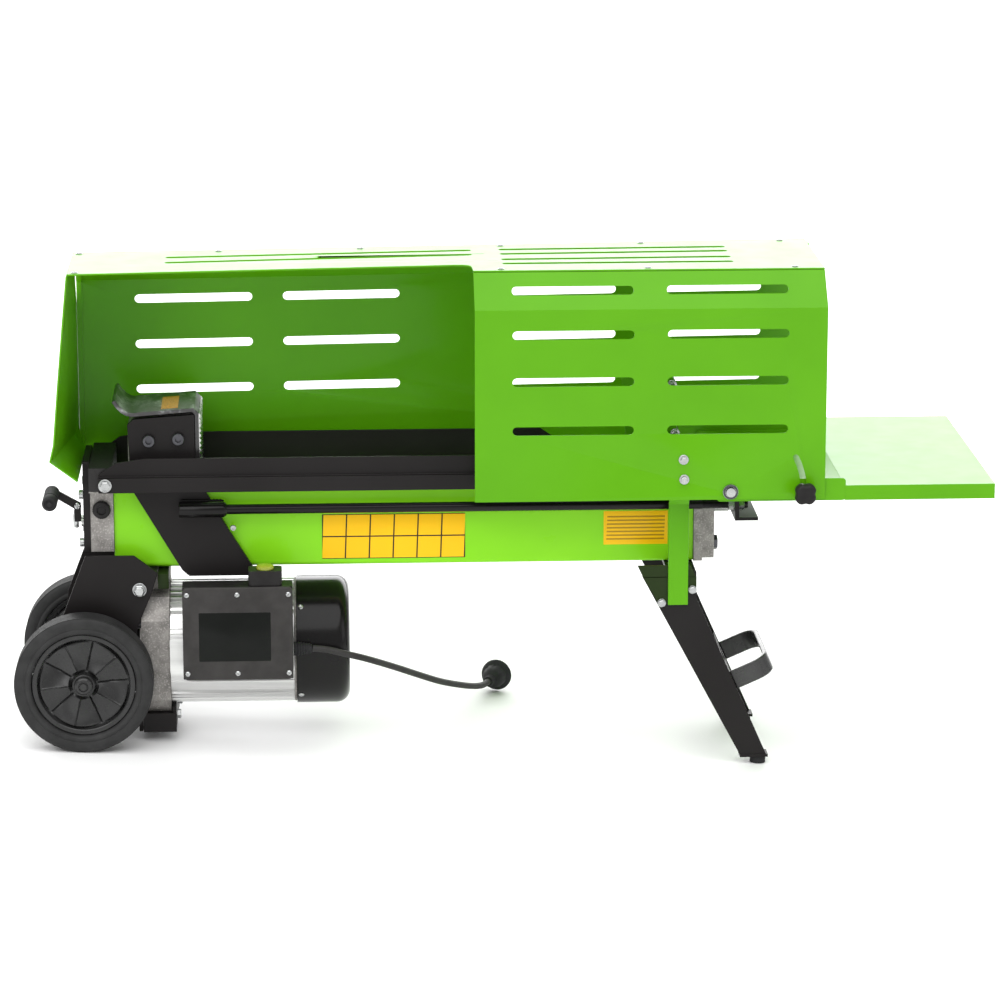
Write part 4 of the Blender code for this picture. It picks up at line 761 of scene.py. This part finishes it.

# ---------------------------------------------------------------- pusher
# A cast block rides on the beam between two black side plates. A folded plate covers its top and
# its face, where teeth bite into the log; the enamel is rubbed through on the top.


def cut_out(loops, axis, low, high):
    """A flat plate with holes: loops of (y, z), (x, z) or (x, y) points, thick along the axis."""
    curve = bpy.data.curves.new("outline", "CURVE")
    curve.dimensions, curve.fill_mode, curve.extrude = "2D", "BOTH", (high - low) / 2
    for loop in loops:
        spline = curve.splines.new("POLY")
        spline.points.add(len(loop) - 1)
        spline.points.foreach_set("co", np.pad(np.array(loop, float), ((0, 0), (0, 2)), constant_values=1)
                                  [:, [0, 1, 2, 3]].ravel() * np.tile([1, 1, 0, 1], len(loop)))
        spline.use_cyclic_u = True
    flat = bpy.data.objects.new("outline", curve)
    bpy.context.scene.collection.objects.link(flat)
    mesh = bpy.data.meshes.new_from_object(flat.evaluated_get(bpy.context.evaluated_depsgraph_get()))
    bpy.data.objects.remove(flat)
    points = np.empty(len(mesh.vertices) * 3)
    mesh.vertices.foreach_get("co", points)
    points = points.reshape(-1, 3) + (0, 0, (low + high) / 2)
    faces = [list(p.vertices) for p in mesh.polygons]
    bpy.data.meshes.remove(mesh)
    return points[:, {"X": [2, 0, 1], "Y": [0, 2, 1], "Z": [0, 1, 2]}[axis]], faces


WORN = Finish("worn_enamel", "black_coat", Coat_Weight=0.5, Coat_Roughness=0.14)
rubs = WORN.noise(0.018, 6.0, (1, 0.45, 1)).to(0.50, 0.66)
top_only = WORN.axis("Z").to(0.398, 0.412)
bare = rubs * top_only * WORN.noise(0.0028, 4.0).to(0.30, 0.62)
WORN.set(Base_Color=WORN.mix(bare, (0.017, 0.016, 0.016), (0.55, 0.56, 0.57)), Metallic=0.9 * bare,
         Roughness=0.26 + 0.16 * WORN.noise(0.006, 3.0))
WORN.raise_by(WORN.noise(0.0035, 4.0) + 0.4 * WORN.noise(0.0008), 0.00012)
eased("pusher_block", CAST, 0.0015, "pusher", 3)
eased("pusher_frame", BLACK, 0.0008, "pusher")
eased("pusher_plate", WORN, 0.0012, "pusher", 3)
teeth_z, tooth = np.arange(0.0405, 0.1190, 0.0060), 0.0022
PUSHER_FACE = -0.361
saw = [(PUSHER_FACE - 0.0008, 0.0385), (PUSHER_FACE + 0.0002, 0.0385)]
for z in teeth_z:
    saw += [(PUSHER_FACE + tooth, z), (PUSHER_FACE + tooth, z + 0.0014), (PUSHER_FACE + 0.0002, z + 0.0040)]
saw += [(PUSHER_FACE - 0.0008, 0.1215)]
piece("pusher_teeth", [cut_out([saw], "Y", -0.0494, 0.0494)], STEEL, "pusher")


def both_sides(shapes, places, spin=0.0):
    """The same little shape at every place on the far side and at its mirror image on the near side."""
    return [moved(shape, (x, sign * y, z), (0, sign, 0), spin) for x, y, z in places for sign in (-1, 1)
            for shape in shapes]


ARM_OUT = 0.0503
arm_places = [(-0.4210, ARM_OUT, 0.0900), (-0.3860, ARM_OUT, 0.0920)]
piece("pusher_bolts", both_sides(socket_head(0.0072, 0.0062), arm_places, 0.4), DARK_STEEL, "pusher")
piece("arm_screws", both_sides(socket_head(0.0036, 0.0030), [(-0.3223, ARM_OUT, -0.0179)]), ZINC, "pusher")
PATCH = Finish("orange_film", "black_coat", Coat_Weight=0.4)
faded = PATCH.noise(0.0016, 4.0, (1, 6, 1)).to(0.45, 0.62)
PATCH.set(Base_Color=PATCH.mix(faded, (0.88, 0.36, 0.014), (0.25, 0.09, 0.01)),
          Roughness=0.35 + 0.1 * PATCH.noise(0.004))
patch_outline = [(-0.4060, -0.0400), (-0.3860, -0.0400), (-0.3860, 0.0260), (-0.4060, 0.0260)]
patch, patch_faces = cut_out([patch_outline], "Z", 0.0, 0.0003)
patch = patch + (0, 0, 0.1290) + np.outer(patch[:, 0] + 0.3670, (0, 0, 0.0750))
piece("pusher_patch", [(patch, patch_faces)], PATCH, "pusher")

# ---------------------------------------------------------------- bed walls and wedge
# Black folded walls keep the log on the beam; each is stiffened by a rail along its lower edge. The
# green wedge stands at the table end on a base plate that is bolted through the walls.
GREEN = coated("green_powder_coat", "green_coat", (0.096, 0.350, 0.0022), (0.108, 0.385, 0.0034), 0.30, 0.09)
for side, sign in (("near", -1), ("far", 1)):
    eased(f"bed_wall_{side}", BLACK, 0.0010, segments=3)
eased("wedge", GREEN, 0.0008)
lean = tan(radians(4))
wedge_places = [(0.2145 - lean * (z - 0.0313), 0.0112, z) for z in (0.143, 0.083)]
piece("wedge_bolts", both_sides(domed(0.0060, 0.0032), wedge_places, 0.2), ZINC)
foot_line = [(x, 0.0117, 0.0412) for x in np.linspace(0.184, 0.215, 9)]
tip_line = [(x, 0.0013 + 0.0104 * (x - 0.156) / 0.026, 0.0412) for x in np.linspace(0.158, 0.182, 7)]
beads = [weld_bead([(x, sign * y, z) for x, y, z in tip_line + foot_line], 0.0020) for sign in (-1, 1)]
piece("wedge_welds", beads, GREEN)
wall_bolts = [moved(shape, (x, 0.0812, 0.042), (0, 1, 0), 0.5) for x in (-0.30, -0.08, 0.12)
              for shape in domed(0.0050, 0.0026)]
piece("wall_bolts", wall_bolts, DARK_STEEL)

# ---------------------------------------------------------------- motor and its fan cover
# The motor's shell is drawn aluminium with fins above and below and plain flats at its sides. A
# pressed cover, painted gloss black, closes its fan end with a grille of rings and spokes.
EXTRUDED = metal("drawn_aluminium", "extruded_aluminium", (0.80, 0.80, 0.79), 0.34, (0.02, 1, 1),
                 0.0008, 0.00002)
MOTOR_Z, SHELL_LEFT, SHELL_RIGHT, SHELL_RADIUS = -0.171, -0.400, -0.2507, 0.0748


def fins(x, r, a):
    """Forty-eight fins round the shell, cut only where its skin faces up or down; the sides are flat
    planes 71 mm out, and a shallow step runs along each edge of them."""
    outer = r > 0.068
    tall = np.abs(np.sin(a))
    cut = (tall > 0.60) & outer
    step = ((tall > 0.36) & (tall < 0.44)) & outer
    wave = np.clip(0.5 + 1.6 * np.cos(48 * a), 0, 1)
    flat = np.where(outer & (tall < 0.36), np.minimum(r, 0.0715 / np.maximum(np.abs(np.cos(a)), 0.3)), r)
    return x, flat - 0.0052 * cut * (1 - wave) - 0.0012 * step


shell = [(0.0660, SHELL_LEFT), (0.0740, SHELL_LEFT)]
shell += [(SHELL_RADIUS, x) for x in (SHELL_LEFT + 0.0006, -0.36, -0.32, -0.28, SHELL_RIGHT - 0.0006)]
shell += [(0.0740, SHELL_RIGHT), (0.0660, SHELL_RIGHT)]
finned = hoop(shell, 384, fins)
piece("motor_shell", [moved(finned, (0, 0, MOTOR_Z))], EXTRUDED, node="motor_housing", angle=24)
end_ring = hoop([(0.0655, -0.2508), (0.0745, -0.2508), (0.0752, -0.2502), (0.0752, -0.2488),
                 (0.0745, -0.2482), (0.0655, -0.2482)], 96)
piece("motor_end_ring", [moved(end_ring, (0, 0, MOTOR_Z))], CAST, slot="extruded_aluminium")
COVER_LEFT, COVER_RIGHT, COVER_RADIUS, COVER_CORNER, COVER_WALL = -0.248, -0.184, 0.0775, 0.016, 0.0022


def round_edge(radius):
    """A quarter circle of this radius about the middle of the cover's rounded edge."""
    bend = np.linspace(0, pi / 2, 9)
    out, along = COVER_RADIUS - COVER_CORNER, COVER_RIGHT - COVER_CORNER
    return [(out + radius * np.cos(b), along + radius * np.sin(b)) for b in bend]


outside = [(COVER_RADIUS, COVER_LEFT)] + round_edge(COVER_CORNER)
outside += [(0.0570, COVER_RIGHT), (0.0566, COVER_RIGHT - 0.0004)]
inside = [(0.0566, COVER_RIGHT - COVER_WALL)] + round_edge(COVER_CORNER - COVER_WALL)[::-1]
inside += [(COVER_RADIUS - COVER_WALL, COVER_LEFT)]
bar_section = ((0, 0.0022), (0, 0.0003), (0.0003, 0), (0.0042, 0), (0.0045, 0.0003), (0.0045, 0.0022))
grille = [hoop([(r + out, COVER_RIGHT - back) for out, back in bar_section], 64)
          for r in (0.0180, 0.0275, 0.0370, 0.0465)]
grille.append(lathed([(0, COVER_RIGHT), (0.0120, COVER_RIGHT), (0.0130, COVER_RIGHT - 0.0006),
                      (0.0130, COVER_RIGHT - 0.0022), (0, COVER_RIGHT - 0.0022)], 40))
spoke = brick((COVER_RIGHT - 0.0024, -0.0022, 0.010), (COVER_RIGHT - 0.0002, 0.0022, 0.0590), 0.0004)
grille += [moved(spoke, (0, 0, 0), (1, 0, 0), k * pi / 4) for k in range(8)]
whole_cover = [moved(shape, (0, 0, MOTOR_Z)) for shape in [hoop(outside + inside, 96)] + grille]
piece("fan_shroud", whole_cover, GLOSS_BLACK, node="fan_cover", slot="black_plastic")
cover_screws = [moved(shape, (-0.243, 0.0776 * cos(a), MOTOR_Z + 0.0776 * sin(a)), (0, cos(a), sin(a)))
                for a in (pi / 4, 3 * pi / 4, -pi / 4, -3 * pi / 4) for shape in domed(0.0034, 0.0018)]
piece("cover_screws", cover_screws, ZINC)
repaint("motor_rotor", STEEL)
repaint("cooling_fan", PLASTIC)

# ---------------------------------------------------------------- pump and motor foot
# The gear pump's cast housing joins the motor to the beam. It stands on a black folded channel, and
# four cap screws hold its two halves together.
eased("pump_housing", CAST, 0.0016, segments=3)
eased("motor_foot", BLACK, 0.0008)
repaint("drive_gear", STEEL)
repaint("idler_gear", STEEL)
PUMP_LEFT = -0.4343
pump_places = [(PUMP_LEFT, sign * y, z) for y, z in ((0.052, -0.222), (0.052, -0.136), (0.022, -0.094))
               for sign in (-1, 1)]
piece("pump_screws", each(socket_head(0.0050, 0.0050), pump_places, (-1, 0, 0)), DARK_STEEL)
boss = lathed([(0, 0.0036), (0.0200, 0.0036), (0.0225, 0.0020), (0.0235, 0), (0, 0)], 48)
port = lathed([(0, 0.0034), (0.0090, 0.0034), (0.0105, 0.0022), (0.0112, 0), (0, 0)], 32)
bosses = [moved(shape, (PUMP_LEFT, 0, z), (-1, 0, 0)) for shape, z in ((boss, MOTOR_Z), (port, -0.118))]
piece("pump_bosses", bosses, CAST)
cheeks = [brick((-0.4394, -0.052, -0.2705), (-0.4346, 0.052, -0.2320), 0.0008),
          brick((-0.3993, -0.052, -0.2705), (-0.3943, 0.052, -0.2400), 0.0008)]
piece("foot_cheeks", cheeks, BLACK)
cheek_bolts = [bolt for x, z, way in ((-0.4395, -0.2500, -1), (-0.3942, -0.2550, 1))
               for bolt in each(hexagon(0.0100, 0.0050), [(x, -0.030, z), (x, 0.030, z)], (way, 0, 0))]
piece("cheek_bolts", cheek_bolts, ZINC)

# ---------------------------------------------------------------- switch box
# A moulded box on the motor's side with a flat lid, six small screws and a plain glossy panel. The
# start button stands on top of it, under a clear yellow-green cap.
eased("switch_box", PLASTIC, 0.0014, segments=3)
BOX_LEFT, BOX_BOTTOM, BOX_TOP, LID_NEAR, LID_FAR = -0.383, -0.190, -0.076, -0.1123, -0.1083


def rounded_rectangle(x0, z0, x1, z1, r, n=6):
    """Corner arcs joined by straight sides: centre of each corner plus r times a quarter circle."""
    quarter = np.linspace(0, pi / 2, n)
    corners = [(x1 - r, z1 - r, 0), (x0 + r, z1 - r, pi / 2), (x0 + r, z0 + r, pi),
               (x1 - r, z0 + r, 3 * pi / 2)]
    return np.concatenate([np.stack((x + r * np.cos(quarter + a), z + r * np.sin(quarter + a)), -1)
                           for x, z, a in corners])


def raised_plate(outline, levels):
    """A plate standing towards the operator: rings of the outline, each scaled in by its own margin
    at its own depth, closed by a flat cap at each end."""
    outline = np.asarray(outline, float)
    middle, half = (outline.max(0) + outline.min(0)) / 2, (outline.max(0) - outline.min(0)) / 2
    rings = []
    for inset, y in levels:
        ring = middle + (outline - middle) * (half - inset) / half
        rings.append(np.insert(ring, 1, y, axis=1))
    n = len(outline)
    faces = lattice(len(rings), n) + [list(range(n)), list(range((len(rings) - 1) * n, len(rings) * n))]
    return np.concatenate(rings), faces


lid_edge = rounded_rectangle(BOX_LEFT, BOX_BOTTOM, BOX_RIGHT, BOX_TOP, 0.006)
lid = raised_plate(lid_edge, [(0, LID_FAR), (0, LID_NEAR + 0.0016), (0.0005, LID_NEAR + 0.0005),
                              (0.0016, LID_NEAR)])
LID_PLASTIC = moulded("lid_moulding", "black_plastic", (0.034, 0.032, 0.031), 0.42, 0.0006, 0.00003)
piece("box_lid", [lid], LID_PLASTIC, node="switch_box_lid", angle=50)
panel_edge = rounded_rectangle(-0.3637, -0.1665, -0.2785, -0.1068, 0.0008)
PANEL = Finish("glossy_panel", "black_plastic", Specular_IOR_Level=0.12)
PANEL.set(Base_Color=PANEL.mix(PANEL.noise(0.03), (0.006, 0.007, 0.006), (0.010, 0.011, 0.010)),
          Roughness=0.16 + 0.06 * PANEL.noise(0.01, 3.0))
panel = raised_plate(panel_edge, [(0, LID_NEAR + 0.0002), (0, LID_NEAR - 0.0003),
                                  (0.0003, LID_NEAR - 0.0005)])
piece("lid_panel", [panel], PANEL)
seats = [(x, LID_NEAR - 0.0001, z) for x in (-0.3777, -0.3180, -0.2572) for z in (-0.0850, -0.1818)]
piece("lid_screws", each(domed(0.0031, 0.0016), seats, (0, -1, 0)), ZINC)
eased("button_housing", PLASTIC, 0.0010)
LIME = Finish("lime_cap", "lime_plastic", Transmission_Weight=0.35, IOR=1.45, Coat_Weight=0.5,
              Coat_Roughness=0.1)
LIME.set(Base_Color=LIME.mix(LIME.noise(0.004, 3.0), (0.42, 0.50, 0.03), (0.52, 0.60, 0.07)),
         Roughness=0.16 + 0.1 * LIME.noise(0.003))
button = lathed([(0, -0.0525), (0.0060, -0.0526), (0.0088, -0.0531), (0.0101, -0.0541), (0.0105, -0.0556),
                 (0.0105, -0.0575), (0.0092, -0.0590), (0.0092, -0.0680), (0, -0.0680)], 40)
piece("button_cap", [moved(button, (-0.2845, -0.094, 0), (0, 0, 1))], LIME, "button", "switch_button")

# ---------------------------------------------------------------- guard
# Green powder-coated sheet, two millimetres thick, folded into a cage over the bed: a front sheet, a
# back sheet, a roof with slots, and an end sheet over the wheels. Cross-head screws join them.
for node in ("guard_front", "guard_back", "guard_roof", "guard_end"):
    eased(node, GREEN, 0.0004, joined=False)
seam = [(0.0848, 0.0560), (0.0848, 0.2589), (0.0470, 0.2967), (0.0455, 0.2952), (0.0826, 0.2581),
        (0.0826, 0.0560)]
piece("corner_seam", [cut_out([seam], "X", -0.5099, -0.5035)], GREEN)
FLARE, GUARD_LEFT, BACK_AT_LEFT, CHAMFER, LIP = radians(3.5), -0.511, 0.087, 0.038, 0.010


def outer(x, clear=0.0002):
    """Just outside the back sheet, which opens towards the table."""
    return BACK_AT_LEFT + tan(FLARE) * (x - GUARD_LEFT) + clear


roof_screws = [(x, outer(x, -CHAMFER - LIP), 0.3001)
               for x in (-0.503, -0.3367, -0.1662, 0.0039, 0.1751, 0.3458)]
roof_screws += [(x, -0.0855, 0.3001) for x in (-0.003, 0.1701, 0.3438)] + [(-0.5020, -0.0860, 0.3001)]
piece("roof_screws", each(domed(0.0042, 0.0012), roof_screws, (0, 0, 1)), ZINC)
strap_screws = [(0.2100, -0.1342, 0.079), (0.2110, -0.1342, 0.0550)]
piece("front_screws", each(hexagon(0.0070, 0.0032, 0.0060), strap_screws, (0, -1, 0)), ZINC)
back_way = Vector((-sin(FLARE), cos(FLARE), 0))
back_screws = [(x, outer(x), z) for x, z in (
    (0.2085, 0.079), (0.2085, 0.066), (-0.490, 0.245), (-0.490, 0.155), (-0.490, 0.070))]
piece("back_screws", each(domed(0.0042, 0.0022), back_screws, tuple(back_way)), ZINC)

# ---------------------------------------------------------------- straps, legs and feet
# Green straps join the guard to the legs. The legs are black folded sheet, splayed towards the
# table, with gussets at the top, their green darkened as painted shade, and screwed-on rubber feet.
for side, sign in (("near", -1), ("far", 1)):
    eased(f"strap_{side}", GREEN, 0.0008)
    eased(f"leg_{side}", BLACK, 0.0010)
    repaint(f"foot_{side}", RUBBER)
# Painted shade: the gussets and ears are green coat darkened for the shade between beam and legs.
gusset = [(0.1668, -0.0740), (0.2304, -0.0740), (0.2304, -0.0905), (0.1862, -0.1083)]
ear = [(0.1600, -0.0600), (0.2230, -0.0600), (0.2304, -0.0748), (0.1668, -0.0748)]
plates = [cut_out([gusset], "Y", low, low + 0.0002) for low in (-0.0942, 0.0940)]
plates += [cut_out([ear], "Y", low, low + 0.0020) for low in (-0.0942, 0.0922)]
piece("leg_gussets", plates, SHADE_GREEN)
leg_places = [(0.1893, 0.0943, -0.1060), (0.2262, 0.0943, -0.0900)]
piece("leg_bolts", both_sides(hexagon(0.0080, 0.0036, 0.0052), leg_places, 0.3), ZINC)
eased("leg_cross_plate", BLACK, 0.0008)
HANDLE_PLASTIC = moulded("handle_moulding", "black_plastic", (0.020, 0.020, 0.020), 0.26, 0.0009, 0.00002)
HANDLE_PLASTIC.set(Specular_IOR_Level=0.5, Coat_Weight=0.3, Coat_Roughness=0.2)
eased("lift_handle", HANDLE_PLASTIC, 0.0022, segments=4)

# ---------------------------------------------------------------- output table
# A folded green tray hangs on two pivot bolts outside the guard. A black hand knob, moving in a
# curved slot, clamps it level or tipped up for carrying.
eased("output_table", GREEN, 0.0006, "table")
repaint("table_pivot_near", ZINC)
repaint("table_pivot_far", ZINC)


def lobed(x, r, a):
    """Four lobes with scooped sides between them."""
    return x, r * np.where(r > 0.009, 1 - 0.17 * (0.5 - 0.5 * np.cos(4 * a)) ** 2.2, 1.0)


knob_shape = lathed([(0, 0.0234), (0.0040, 0.0230), (0.0072, 0.0236), (0.0110, 0.0228), (0.0130, 0.0208),
                     (0.0138, 0.0180), (0.0138, 0.0120), (0.0128, 0.0100), (0.0085, 0.0080),
                     (0.0078, 0.0004), (0.0030, 0.0002), (0.0030, -0.0075), (0, -0.0075)], 96, lobed)
piece("hand_knob", [moved(knob_shape, (0.353, -0.1343, 0.0395), (0, -1, 0), pi / 4)], PLASTIC, "knob",
      "table_knob", angle=60)
collar = hoop([(0.0066, 0), (0.0066, 0.0012), (0.0084, 0.0012), (0.0088, 0.0008), (0.0088, 0)], 40)
piece("pivot_collar", [moved(collar, (TABLE_PIVOT.x, -0.1361, TABLE_PIVOT.z), (0, -1, 0))], DARK_STEEL)
